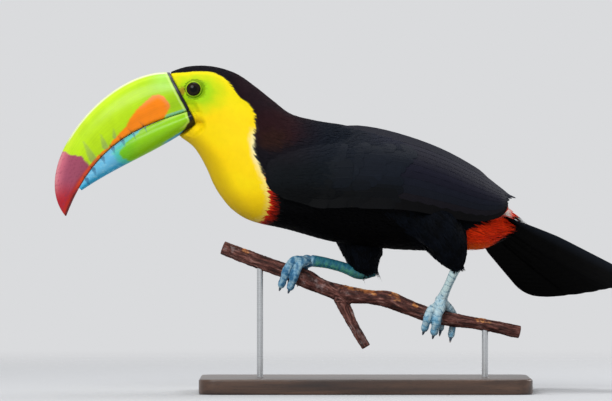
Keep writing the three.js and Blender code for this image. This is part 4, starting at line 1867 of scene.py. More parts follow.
@dataclass
class ThighCoat:
    """The stranded feathers of the thighs, whose tips hang over the bare shanks.

    Args:
        row_gap: between rows, in millimetres.
        side_gap: between neighbours.
        length: of a feather.
        width: of a feather.
        depth: of its root under the outline.
        drapes: front and rear line of the flank feathers that fall over each thigh.
    """

    row_gap: float = 1.7
    side_gap: float = 1.15
    length: float = 10.5
    width: float = 1.5
    depth: float = 2.0
    drapes: tuple[tuple[Side, Line, Line], ...] = (
        (
            Side.LEFT,
            ((10, 149), (33, 129), (51.5, 114.5), (62, 104), (69, 97)),
            ((68, 149), (80.5, 130), (82, 114), (80.5, 105), (76.5, 97)),
        ),
        (
            Side.RIGHT,
            ((-42, 149), (-26, 130), (-15, 115), (-9.5, 104), (-2, 96)),
            ((-4, 149), (10, 130), (12.5, 114), (12, 104), (8.5, 96)),
        ),
    )

    def strands(self, name: str, roots: Roots, finish: Material, seed: int) -> Piece:
        """Blue-black strands with paler ones between them, from their roots.

        Args:
            name: the piece's name.
            roots: where the strands grow.
            finish: their material.
            seed: of the small differences between them.

        Returns:
            The piece.
        """
        places = roots.places()
        tints = layered(plain("#040507", len(places)), (0.6 * (0.5 + 0.5 * ripple(places, 9, 70)), "#0E131C"))
        chart = np.stack([roots.v, roots.u], 1)
        return coat_piece(name, roots.vanes(TUFT), TUFT, chart, tints, finish, seed, 0.15)

    def drape(self, form: DrapeForm, finish: Material) -> Piece:
        """Strands from the flank down and back over the thigh, longest at its lower front.

        Args:
            form: the hanging of the flank feathers.
            finish: their material.

        Returns:
            The piece.
        """
        side = form.side.value
        gaps = ((0, 1), (2.0, 2.0)), ((0, 1), (1.2, 1.2))
        u, v = brick_rows(form, (0.0, 0.82), (0.0, 0.97), *gaps, seed=45 + side)
        rng = np.random.default_rng(47 + side)
        n = len(u)
        length = 1.2 * self.length * rng.uniform(0.75, 1.2, n) * np.interp(v, [0, 0.9, 1], [1, 1, 0.7])
        width = self.width * rng.uniform(0.7, 1.1, n)
        roots = Roots(form, u, v, length, width, 0.16, 1.2, rng.normal(0.22, 0.1, n), rng.normal(0.0, 0.1, n))
        return self.strands(f"coat_drape_{form.side.label()}", roots, finish, 43 + side)

    def build(self, finish: Material) -> list[Piece]:
        """Two pieces for each leg.

        Args:
            finish: the feathers' material.

        Returns:
            The pieces.
        """
        made = [self.drape(DrapeForm(*lines), finish) for lines in self.drapes]
        for side, form in THIGHS.items():
            gaps = ((0, 1), (self.row_gap,) * 2), ((0, 1), (self.side_gap,) * 2)
            u, v = brick_rows(form, (0.06, 0.97), (0, 2 * math.pi), *gaps, seed=51 + side.value)
            rng = np.random.default_rng(61 + side.value)
            n = len(u)
            length = self.length * rng.uniform(0.7, 1.25, n) * np.interp(u, [0, 0.7, 1], [1, 0.95, 0.6])
            width = self.width * rng.uniform(0.8, 1.2, n)
            lift = rng.normal(0.1, 0.2, n) + 0.25 * fade(0.75, 1.0, u)
            roots = Roots(form, u, v, length, width, 0.22, self.depth, lift, rng.normal(0, 0.16, n))
            roots = roots.kept((roots.places()[:, 1] * side.value < 17) | (u > 0.52))
            made.append(self.strands(f"coat_thigh_{side.label()}", roots, finish, 70 + side.value))
        return made


@dataclass
class WingCoat:
    """The small feathers of the shoulder and the longer vanes of the folded wing.

    Args:
        shoulder_end: how far the small feathers reach from the wrist, as a share of the wing.
        stations: shares of the wing where their sizes are stated.
        row_gap: between their rows, in millimetres.
        side_gap: between neighbours.
        length: of a small feather.
        width: of a small feather.
        rows: for each row of coverts its place along the wing, length, width and upper end across the wing.
        large: place along the wing, place across it, length and width of the broad coverts, which end in one
            round edge.
        quills: how many long vanes lie one under the other.
        primaries: ends of the primaries that stand out of the wing's tip, as shares of the wing.
    """

    shoulder_end: float = 0.5
    stations: Numbers = (0.0, 0.15, 0.35, 0.55)
    row_gap: Numbers = (1.6, 2.2, 2.8, 3.4)
    side_gap: Numbers = (1.0, 1.4, 1.8, 2.2)
    length: Numbers = (6.0, 10.0, 14.0, 17.0)
    width: Numbers = (1.6, 2.3, 3.0, 3.6)
    rows: tuple[tuple[float, float, float, float], ...] = (
        (0.29, 17, 8.0, 0.34), (0.335, 22, 8.6, 0.3), (0.38, 27, 9.2, 0.26), (0.425, 32, 9.8, 0.22),
    )  # fmt: skip
    large: tuple[tuple[float, float, float, float], ...] = ((0.335, 0.6, 22, 15), (0.335, 0.72, 22, 14))
    quills: int = 11
    primaries: Numbers = (1.03, 1.012, 1.0, 0.985, 0.97)

    def shoulder(self, form: WingForm) -> Roots:
        """Rows of small rounded vanes over the shoulder, fewer where the long coverts begin.

        Args:
            form: the wing.

        Returns:
            The roots.
        """
        gaps = (self.stations, self.row_gap), (self.stations, self.side_gap)
        u, v = brick_rows(form, (0.004, self.shoulder_end), (0.03, 1.0), *gaps, seed=81 + form.side.value)
        rng = np.random.default_rng(82 + form.side.value)
        keep = u < np.interp(v, [0.0, 0.3, 0.45, 1.0], [0.5, 0.5, 0.37, 0.35])
        u, v = u[keep], v[keep]
        n = len(u)
        length = np.interp(u, self.stations, self.length) * rng.uniform(0.88, 1.12, n)
        width = np.interp(u, self.stations, self.width) * rng.uniform(0.9, 1.1, n)
        lift = rng.normal(0.1, 0.04, n) * fade(-0.05, 0.12, v)
        return Roots(form, u, v, length, width, 0.05 * width, 0.8, lift, rng.normal(0, 0.08, n), 0.05)

    def coverts(self, form: WingForm) -> Roots:
        """Rows of long coverts, each vane a little under the one above it, and broad ones at their roots.

        Args:
            form: the wing.

        Returns:
            The roots.
        """
        parts = []
        rng = np.random.default_rng(91 + form.side.value)
        n = 14
        for place, length, width, upper in self.rows:
            v = np.linspace(upper, 0.97, n)
            u = place + 0.06 * (1 - v) + rng.uniform(-0.012, 0.012, n)
            length = length * rng.uniform(0.9, 1.1, n)
            lift = 0.26 - 0.3 * place - 0.03 * np.arange(n) / n
            parts.append((u, v, length, width, 0.1, 0.5, lift, rng.normal(0, 0.04, n), 0.03))
        for place, across, length, width in self.large:
            parts.append((np.array([place]), across, length, width, 0.2, 0.3, 0.34, 0.0, 0.03))
        return Roots(form, *(np.concatenate(c) for c in zip(*(np.broadcast_arrays(*part) for part in parts))))

    def long_vanes(self, form: WingForm) -> tuple[Array, Array]:
        """Tertials, secondaries and primaries laid along the wing.

        Each keeps its share of the wing's breadth from root to tip, so that they draw together towards the
        wing's tip. Each rises from its upper to its lower edge, which lies over the next one's upper edge.

        Args:
            form: the wing.

        Returns:
            Places as [vane, vertex, xyz], and each vane's [start, share of the breadth].
        """
        n, tips = self.quills, len(self.primaries)
        k = np.arange(n)
        ends = np.interp(k / (n - 1), [0, 0.12, 0.3, 0.55, 0.8, 1.0], [0.83, 0.89, 0.945, 0.965, 0.955, 0.93])
        halves = np.interp(k / (n - 1), [0, 0.5, 1], [0.085, 0.078, 0.066])
        centre = np.append(np.linspace(0.03, 0.95, n), np.linspace(0.1, 0.86, tips))
        start = np.append(0.36 + 0.04 * np.sin(k), np.full(tips, 0.72))
        end = np.append(ends, self.primaries)
        half = np.append(halves, np.full(tips, 0.13))
        order = np.append(np.linspace(0.16, -0.1, n), -0.75 - 0.15 * np.arange(tips))
        along, side, crown = QUILL.layout()
        u = start[:, None] + (end - start)[:, None] * along
        v = centre[:, None] + half[:, None] * side + 0.02 * np.sin(3 * along)
        rise = order[:, None] + 0.13 * side - 0.9 * (1 - along) ** 3 + 0.06 * crown
        return form.point(u, np.clip(v, -0.03, 1.03), rise), np.stack([start, centre], 1)

    def build(self, small: Material, large: Material) -> list[Piece]:
        """The small feathers, coverts and long vanes of both wings.

        Args:
            small: material of the small feathers.
            large: material of the others.

        Returns:
            The pieces.
        """
        made = []
        for side, form in WINGS.items():
            label = side.label()
            for name, roots, shape, finish in (
                ("coat_shoulder", self.shoulder(form), TUFT, small),
                ("coverts", self.coverts(form), QUILL, large),
            ):
                vanes = roots.vanes(shape)
                tints = MARKINGS.wing_plumage(vanes[:, vanes.shape[1] // 2])
                chart = np.stack([roots.u, roots.v], 1)
                seed = 95 + side.value
                made.append(coat_piece(f"{name}_{label}", vanes, shape, chart, tints, finish, seed, 0.2))
            vanes, chart = self.long_vanes(form)
            tints = MARKINGS.wing_plumage(vanes[:, vanes.shape[1] // 2])
            name, seed = f"flight_feathers_{label}", 97 + side.value
            made.append(coat_piece(name, vanes, QUILL, chart, tints, large, seed, 0.2, f"wing_{label}"))
        return made


@dataclass
class Tail:
    """Ten long feathers fanned out, the middle pair on top.

    Args:
        feathers: how many.
        overlap: half width of a feather over half the fan's share for it.
        stack: how far each lies under its inner neighbour, in millimetres.
        start: where their webs begin, in millimetres from the fan's root.
    """

    feathers: int = 10
    overlap: float = 2.1
    stack: float = 0.42
    start: float = 22

    def build(self, finish: Material) -> Piece:
        """The fan's feathers in one piece.

        Args:
            finish: the feathers' material.

        Returns:
            The piece.
        """
        j = np.arange(self.feathers)
        share = 1 / self.feathers
        rng = np.random.default_rng(5)
        outer = np.abs(j - (self.feathers - 1) / 2) - 0.5
        half = share * self.overlap
        centre = np.clip(-1 + (2 * j + 1) * share, -1 + half, 1 - half)
        along, side, crown = RECTRIX.layout()
        c = centre[:, None] + half * side
        reach = FAN.reach(c) + rng.uniform(-1.2, 0.6, self.feathers)[:, None]
        run = self.start + (reach - self.start) * along
        base = 1.1 - self.stack * outer
        left = np.sign(centre)[:, None]
        rise = base[:, None] + 0.16 * crown - 0.12 * left * side * (outer[:, None] < 4)
        vanes = FAN.point(c, run, rise)
        # a slate band on the left edge's outer vane: painted highlight where the edge catches the light
        tints = layered(plain("#010101", c.size), (0.8 * fade(0.86, 0.97, c.ravel()), "#262C36"))
        tints = tints.reshape(*c.shape, 3)
        chart = np.stack([centre, FAN.reach(centre)], 1)
        return coat_piece("tail_feathers", vanes, RECTRIX, chart, tints, finish, 41, 0.1, "tail")


# ------------------------------------------------------------------ perch, legs and skin


@dataclass(frozen=True)
class Perch:
    """The branch and its twig.

    Args:
        line: the branch's middle line.
        radii: its radius at the line's points.
        twig: the twig's middle line.
        twig_radii: its radii.
        worn_and_lit: places scuffed bare, [x, reach along the branch]; on the branch's top they also paint a
            highlight.
        knots: knots, [x, angle round the branch, size].
    """

    line: Path = (
        (-114, 2, 115.5), (-86, 0.5, 104.8), (-66, 0, 97.6), (-47, 0.6, 90.4), (-33, 0.8, 83.6),
        (-15, 0.4, 78.2), (4, 0, 76), (18, -0.6, 74.1), (35, -0.4, 67.6), (51, 0, 61.8), (71, 0.6, 57.6),
        (93, 2, 54.2), (124, 5.2, 47.8),
    )  # fmt: skip
    radii: Numbers = (5.5, 5.8, 6, 7.3, 6.1, 6.8, 5.6, 6.7, 6.2, 5.8, 5.4, 4.7, 5.1)
    twig: Path = ((-21.5, 0.6, 79.5), (-14, -0.6, 63), (-8, -1.6, 51), (1, -2.2, 36))
    twig_radii: Numbers = (5.6, 4.5, 3.9, 3.7)
    worn_and_lit: Line = ((2, 18), (94, 10), (-14, 9), (24, 8), (40, 4), (-96, 6))
    knots: Path = ((-40, 1.9, 2.4), (58, 2.3, 1.8), (108, -1.9, 2.2), (20, 1.2, 1.4))

    def share_at(self, x: float) -> float:
        """The curve parameter where the line is at x."""
        t = np.linspace(0, 1, 4001)
        return float(np.interp(x, spline(self.line, t)[:, 0], t))

    def lengths(self) -> tuple[Array, Array]:
        """Curve parameters and the running length at them.

        Returns:
            The parameters and the lengths.
        """
        t = np.linspace(0, 1, 4001)
        steps = np.linalg.norm(np.diff(spline(self.line, t), axis=0), axis=1)
        return t, np.concatenate([[0], np.cumsum(steps)])


PERCH = Perch()


@dataclass(frozen=True)
class ToeSpec:
    """One toe on the branch.

    Args:
        number: 1 to 4.
        way: side of the branch that it goes down, as the sign of Y.
        to: where along the branch it ends, from the foot's middle, in millimetres.
        round: degrees round the branch where it leaves it.
        reach: how far it then goes straight on.
        radius: of the toe.
    """

    number: int
    way: int
    to: float
    round: float
    reach: float
    radius: float


@dataclass(frozen=True)
class Leg:
    """A bare shank, foot and toes.

    Args:
        side: which leg.
        shank: the shank's middle line.
        shank_radii: its radii.
        foot: the foot's middle.
        arch: how far the toes are raised over the branch.
        over: the two angles round the branch between which they are.
        toes: the toes.
        reference: a direction that the shank never takes.
        taper: share of a toe's radius at even steps along it.
        clearance: between toe and branch, in millimetres.
    """

    side: Side
    shank: Path
    shank_radii: Numbers
    foot: tuple[float, float, float]
    arch: float
    over: tuple[float, float]
    toes: tuple[ToeSpec, ...]
    reference: tuple[float, float, float]
    taper: Numbers = (1.1, 1, 0.98, 0.88)
    clearance: float = 0.55

    def toe_course(self, toe: ToeSpec) -> Course:
        """Out of the foot, over the branch's top, round it and straight on.

        Args:
            toe: the toe.

        Returns:
            The toe's middle line.
        """
        t, run = PERCH.lengths()
        start = float(np.interp(PERCH.share_at(self.foot[0]), t, run))

        def wrap(offset: float, degrees: float, out: float = 0.0, lift: float = 0.0) -> Array:
            """A place round the branch, offset along it from the foot.

            Args:
                offset: distance along the branch from the foot.
                degrees: angle round the branch from its top.
                out: how far it lies past that angle, straight on.
                lift: how far it lies over its usual distance.

            Returns:
                The place.
            """
            share = np.array(np.interp(start + offset, run, t))
            at = spline(PERCH.line, share)
            tangent = unit(spline(PERCH.line, share + 1e-3) - spline(PERCH.line, share - 1e-3))
            up = unit(-np.cross(np.array([0.0, 1.0, 0.0]), tangent))
            angle = math.radians(degrees)
            distance = float(values(PERCH.radii, share)) + toe.radius + self.clearance + lift
            sideways = np.array([0.0, float(toe.way), 0.0])
            across = distance * math.sin(angle) + out * math.cos(angle)
            return at + sideways * across + up * (distance * math.cos(angle) - out * math.sin(angle))

        x, y, z = self.foot
        points = (
            np.array([x + 0.1 * toe.to, y + toe.way * 1.5, z - 0.5]),
            wrap(0.55 * toe.to, self.over[0], lift=self.arch),
            wrap(0.88 * toe.to, self.over[1], lift=self.arch),
            wrap(toe.to, 78, lift=0.3 * self.arch),
            wrap(toe.to, toe.round),
            wrap(toe.to, toe.round, out=toe.reach),
        )
        return Course(tuple(tuple(p) for p in points), (1.0, 0.0, 0.25))

    def shank_course(self) -> Course:
        """The shank's middle line."""
        return Course(self.shank, self.reference)


LEGS = (
    Leg(
        Side.RIGHT,
        ((8, 13.5, 96.8), (-4, 12.8, 94.7), (-17, 10.5, 99.4), (-31, 7, 103.2), (-43, 4.2, 105)),
        (4.7, 4.9, 4.4, 4.4, 4.9),
        (-46.5, 3.5, 105.6),
        2.6,
        (14, 40),
        (
            ToeSpec(3, -1, -17.6, 115, 11, 3.1),
            ToeSpec(2, -1, -10.2, 115, 10, 3.1),
            ToeSpec(4, 1, -13, 98, 3, 2.8),
            ToeSpec(1, 1, -5, 96, 2, 2.5),
        ),
        (0.0, 0.0, 1.0),
    ),
    Leg(
        Side.LEFT,
        ((74.5, -18, 104), (71, -15.6, 96.3), (66.5, -10.4, 86), (62, -4.8, 75.8)),
        (4.2, 3.8, 3.5, 4.2),
        (61, -3.4, 73.9),
        0.4,
        (30, 60),
        (
            ToeSpec(2, -1, -10.6, 115, 11, 3.1),
            ToeSpec(3, -1, -3.2, 114, 12.4, 3.25),
            ToeSpec(4, 1, 10.4, 110, 13, 2.8),
            ToeSpec(1, 1, 1.5, 106, 9, 2.5),
        ),
        AHEAD,
    ),
)


def tube_rings(course: Course, radii: Array, rows: int, sides: int) -> Array:
    """Rings of a round tube along a course.

    Args:
        course: its middle line.
        radii: radius at each row, or one for all.
        rows: how many rings.
        sides: places on a ring.

    Returns:
        Places as [ring, place, xyz].
    """
    distance = np.linspace(0, 1, rows) * course.length()
    _, level, other = course.frames(distance)
    angle = full_turn(sides)
    ring = level[:, None] * np.cos(angle)[None, :, None] + other[:, None] * np.sin(angle)[None, :, None]
    return course.at(distance)[:, None] + np.broadcast_to(radii, rows)[:, None, None] * ring


def ball_rings(middle: Numbers, radii: Numbers) -> Array:
    """Rings of an ellipsoid about a middle, from its top to its bottom: [sin p cos a, sin p sin a, cos p].

    Args:
        middle: its middle.
        radii: its half sizes along X, Y and Z.

    Returns:
        Places as [ring, place, xyz].
    """
    polar, angle = np.linspace(0.08, math.pi - 0.08, 14)[:, None], full_turn(20)[None]
    out = np.sin(polar)
    shape = np.stack(np.broadcast_arrays(out * np.cos(angle), out * np.sin(angle), np.cos(polar)), -1)
    return np.array(middle) + np.array(radii) * shape


def merge(parts: list[Shell]) -> Shell:
    """Puts several closed meshes into one set of arrays, each turned outwards.

    Args:
        parts: vertices and faces of each mesh.

    Returns:
        The vertices, and the faces by their size.
    """
    vertices, quads, triangles, base = [], [], [], 0
    for places, faces in parts:
        for f in outward(places, faces):
            (quads if f.shape[1] == 4 else triangles).append(f + base)
        vertices.append(places)
        base += len(places)
    return np.concatenate(vertices), [np.concatenate(g) for g in (quads, triangles) if g]


@dataclass
class Skin:
    """One skin under the feathers and over the bare legs, with the folds round the eyes and the legs' plates.

    Args:
        voxel: size of the body's voxels, in millimetres.
        leg_voxel: size of the legs' voxels.
        wing_depth: depth of the skin under the wing's outline.
        thigh_depth: depth under the thighs' outline.
        plate: length of one plate of a leg's skin.
        groove: depth of the lines between them.
        eye_reach: distance round the eye where the skin is finer.
        foot_radii: half sizes of the ball of each foot.
        limb_rows: rings along each shank and toe.
    """

    voxel: float = 1.55
    leg_voxel: float = 0.6
    wing_depth: float = 2.0
    thigh_depth: float = 1.9
    plate: float = 4.3
    groove: float = 0.26
    eye_reach: float = 17.0
    foot_radii: tuple[float, float, float] = (5.1, 4.9, 4.2)
    limb_rows: int = 60

    def depth(self, u: Array) -> Array:
        """Depth of the skin under the body's outline at station numbers."""
        coat = BodyCoat()
        return coat.read(coat.depth, u) * np.interp(u, [2.5, 6], [0.6, 0.95])

    def shells(self) -> Piece:
        """Closed shells of body, wings and thighs, still overlapping.

        Returns:
            The object with the shells.
        """
        u = np.linspace(0, BODY.last(), 72)[:, None]
        v = np.linspace(-math.pi, math.pi, 84, endpoint=False)[None]
        parts = [tube_mesh(BODY.point(u, v, -self.depth(u)))]
        for form in WINGS.values():
            along, across = np.linspace(0.02, 0.985, 50)[:, None], np.linspace(0.03, 0.97, 28)[None]
            outer = form.point(along, across, np.full((1, 28), -self.wing_depth))
            inner = form.point(along, across, np.full((1, 28), -self.wing_depth - 2.6))
            parts.append(tube_mesh(np.concatenate([outer, inner[:, ::-1]], 1)))
        for form in THIGHS.values():
            around = full_turn(40)[None]
            parts.append(tube_mesh(form.point(np.linspace(0, 0.97, 24)[:, None], around, -self.thigh_depth)))
        return put_mesh("skin_shells", *merge(parts), closed=False)

    def refined(self, vertices: Array, faces: Array) -> tuple[Array, Array]:
        """Cuts the faces round each eye finer and turns everything into triangles.

        Args:
            vertices: the skin's places.
            faces: its quads.

        Returns:
            Places and triangles.
        """
        piece = put_mesh("skin_draft", vertices, [faces], closed=False)
        work = bmesh.new()
        work.from_mesh(piece.data)
        for reach in (self.eye_reach, self.eye_reach - 3):
            near = []
            for edge in work.edges:
                middle = (edge.verts[0].co + edge.verts[1].co) / (2 * MM)
                if math.hypot(middle.x - EYE_AT[0], middle.z - EYE_AT[1]) < reach and abs(middle.y) > 6:
                    near.append(edge)
            bmesh.ops.subdivide_edges(work, edges=near, cuts=1, use_grid_fill=True, smooth=0.0)
        bmesh.ops.triangulate(work, faces=work.faces)
        work.to_mesh(piece.data)
        work.free()
        found = read_mesh(piece.data, 3)
        bpy.data.objects.remove(piece)
        return found

    def fold_eyelids(self, places: Array) -> Array:
        """Sinks a bowl for each eye and raises rings of folded skin round it.

        The eyeball's own sphere gives the height at the lid; outside it stand two rings, each a narrow bell
        over the distance from the eye's middle, deeper below the eye than above.

        Args:
            places: the skin's places.

        Returns:
            The places with the folds.
        """
        x, y, z = places.T.copy()
        dx, dz = x - EYE_AT[0], z - EYE_AT[1]
        r = np.hypot(dx / 1.03, dz)
        angle = np.arctan2(dz, dx)
        ball = EYE_DEPTH + np.sqrt(np.maximum(0, EYE_RADIUS**2 - np.minimum(r, 6.9) ** 2))
        lid = 5.75 + 0.12 * np.cos(2 * angle)
        below = 0.65 + 0.35 * fade(0.3, -0.6, np.sin(angle))
        folds = 0.34 * bell(r - lid - 0.2, 0.34) - 0.22 * bell(r - lid - 0.95, 0.3)
        folds += below * 0.28 * bell(r - lid - 1.6, 0.38) - 0.18 * below * bell(r - lid - 2.3, 0.32)
        folds += below * 0.16 * bell(r - lid - 3.0, 0.5)
        wrinkles = 0.1 * np.sin(9 * angle + 2.5 * r) * fade(6.5, 8, r) * fade(14, 10, r)
        lids = np.where(r < lid - 0.2, ball - 1.1 * fade(lid - 0.1, lid - 0.7, r), ball + 0.1)
        near = 1 - fade(lid + 0.4, lid + 4.2, r)
        out = np.abs(y)
        height = out + near * (lids - out) + (folds + wrinkles) * fade(lid - 0.3, lid, r) * fade(13, 9, r)
        folded = np.sign(y) * np.where(r < 14, height, out)
        return np.stack([x, np.where(out > 6, folded, y), z], 1)

    def limbs(self, leg: Leg) -> list[tuple[Course, Array, float]]:
        """Courses of a leg's shank and toes with their radii and plate lengths.

        Args:
            leg: the leg.

        Returns:
            Course, radii and plate length of each limb.
        """
        s = np.linspace(0, 1, self.limb_rows)
        found = [(leg.shank_course(), values(leg.shank_radii, s) - 0.1, self.plate)]
        for toe in leg.toes:
            end = np.sqrt(np.maximum(0.05, 1 - (np.maximum(0, s - 0.88) / 0.125) ** 2))
            joints = 1 + 0.06 * np.cos(2 * math.pi * (s * 3 + 0.15))
            size = values(leg.taper, s) * toe.radius * 1.1 * end * joints
            found.append((leg.toe_course(toe), size, self.plate * 0.85))
        return found

    def leg_shells(self, leg: Leg) -> Piece:
        """Closed shells of shank, foot and toes, still overlapping.

        Args:
            leg: the leg.

        Returns:
            The object with the shells.
        """
        limbs = self.limbs(leg)
        parts = [tube_mesh(tube_rings(course, radii, self.limb_rows, 20)) for course, radii, _ in limbs]
        parts.append(tube_mesh(ball_rings(leg.foot, self.foot_radii)))
        return put_mesh("leg_shells", *merge(parts), closed=False)

    def scaled(self, places: Array, leg: Leg) -> tuple[Array, Array]:
        """Sinks the lines between the plates of a leg.

        Each place belongs to the nearest limb; the plates follow each other along it, and on its sole they
        give way to small pads.

        Args:
            places: the leg's places.
            leg: the leg.

        Returns:
            The places with their lines, and how deep each lies in a line, from 0 to 1.
        """
        best = np.full(len(places), 1e9)
        phase = np.zeros(len(places))
        normal = np.zeros_like(places)
        for course, radii, pitch in self.limbs(leg):
            run = np.linspace(0, course.length(), 90)
            line = course.at(run)
            size = np.interp(run, np.linspace(0, course.length(), self.limb_rows), radii)
            gaps = np.linalg.norm(places[:, None] - line[None], axis=2)
            k = np.argmin(gaps, axis=1)
            over = gaps[np.arange(len(places)), k] - size[k]
            closer = over < best
            best = np.where(closer, over, best)
            tangent = unit(np.gradient(line, axis=0))
            ahead = ((places - line[k]) * tangent[k]).sum(1)
            phase = np.where(closer, (run[k] + ahead) / pitch, phase)
            normal = np.where(closer[:, None], unit(places - line[k]), normal)
        wobble = 0.22 * ripple(places, 5, 21) + 0.08 * ripple(places, 2, 22)
        gap = np.abs((phase + wobble) % 1 - 0.5)
        line_depth = bell(0.5 - gap, 0.075) * fade(-1.2, -0.1, ripple(places, 7, 24))
        front = normal[:, 1] * -1.0 + 0.5 * normal[:, 2]
        seam = bell(front - 0.35, 0.09) * 0.7
        pads = bell(0.5 - np.abs((phase * 2.1 + 2 * wobble) % 1 - 0.5), 0.12) * fade(0.3, -0.2, front)
        depth = np.clip(line_depth + seam + 0.5 * pads, 0, 1)
        bulge = 0.09 * np.cos(math.pi * gap * 2) ** 2
        return places - normal * (self.groove * depth - bulge)[:, None], depth

    def leg_colour(self, places: Array, depth: Array, leg: Leg) -> Array:
        """Ice-blue plates, darker in the lines, teal towards the far leg's ankle; the far leg is also
        darkened as painted shade under the belly.

        Args:
            places: the leg's places.
            depth: how deep each lies in a line.
            leg: the leg.

        Returns:
            Rows of linear colours.
        """
        x, _, z = places.T
        patchy = ripple(places, 6, 23) + 0.6 * ripple(places, 2.5, 25)
        if leg.side is Side.RIGHT:
            # the far leg: teal, partly its own colour and partly painted shade under the belly, darkest near
            # the thigh
            shank = fade(-43, -38, x)
            low = fade(2.0, -2.0, z - np.interp(x, [-43, -31, -17, -4], [105, 103.2, 99.4, 94.7]))
            colour = layered(
                plain("#6C9CBA", len(places)),
                (0.7 * fade(0.1, -0.8, patchy), "#A4C6D2"),
                (0.85 * fade(0.1, 0.75, patchy), "#25618A"),
                (0.95 * shank, "#2C7480"),
                (0.8 * low * shank, "#4E9678"),
                (0.7 * fade(0.0, 0.7, patchy) * shank, "#1A5872"),
                (0.6 * fade(-14, -4, x), "#2E5A58"),
            )
        else:
            colour = layered(
                plain("#B4D4E0", len(places)),
                (0.8 * fade(-0.6, 0.6, patchy), "#D0E4E6"),
                (0.8 * fade(74, 84, z), "#CFE6E4"),
                (0.8 * fade(66, 58, z) * fade(-0.5, 0.5, patchy), "#5BA4C8"),
            )
        return blend_to(colour, 0.85 * depth, "#24688C")

    def build(self, finishes: tuple[Material, Material]) -> Piece:
        """Makes the skin.

        Args:
            finishes: materials of the body's skin and of the legs'.

        Returns:
            The one skin.
        """
        vertices, quads = shaped(self.shells(), self.voxel, 4)
        vertices, triangles = self.refined(vertices, quads)
        vertices = self.fold_eyelids(squeeze(vertices, 0.35))
        colours = MARKINGS.at(vertices)
        naked = MARKINGS.bare(vertices)[:, None]
        dull = np.where(colours.max(1, keepdims=True) < 0.05, 0.5, 0.92)
        r = MARKINGS.round_eye(vertices[:, 0], vertices[:, 2])
        beside = np.abs(vertices[:, 1]) > 8
        # painted shade in the creases between the folds round the eye and in the gap at the lid
        crease_shade = 0.8 * bell(r - 6.75, 0.3) + 0.6 * bell(r - 8.1, 0.35) + 1.4 * bell(r - 5.3, 0.4)
        colours = layered(
            colours * (dull - 0.17 * naked),
            (0.55 * crease_shade * beside, "#4F7210"),
            # a paler ring on the lid's crest: partly the lid's own skin, partly a painted highlight
            (0.6 * (bell(r - 6.05, 0.4) * beside), "#BCD42A"),
        )
        sets, tints, base, legs_from = [triangles], [colours], len(vertices), len(triangles)
        places = [vertices]
        for leg in LEGS:
            bare, faces = shaped(self.leg_shells(leg), self.leg_voxel, 2)
            bare, depth = self.scaled(bare, leg)
            places.append(bare)
            tints.append(self.leg_colour(bare, depth, leg))
            sets += [faces[:, [0, 1, 2]] + base, faces[:, [0, 2, 3]] + base]
            base += len(bare)
        piece = put_mesh("skin", np.concatenate(places), [np.concatenate(sets)], closed=False)
        tint(piece, "Tint", np.concatenate(tints))
        for finish in finishes:
            piece.data.materials.append(finish)
        count = len(piece.data.polygons)
        piece.data.polygons.foreach_set("material_index", (np.arange(count) >= legs_from).astype(np.int32))
        legs = [f"{part}_{leg.side.label()}" for leg in LEGS for part in ("thigh", "shank", "foot")]
        toes = [f"toe_{leg.side.label()}_{toe.number}" for leg in LEGS for toe in leg.toes]
        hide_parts("head", "neck", "trunk", "rump", *legs, *toes)
        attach(piece, "root")
        LOG.info("skin: %d triangles", count)
        return piece


# ------------------------------------------------------------------ bill, eyes and claws


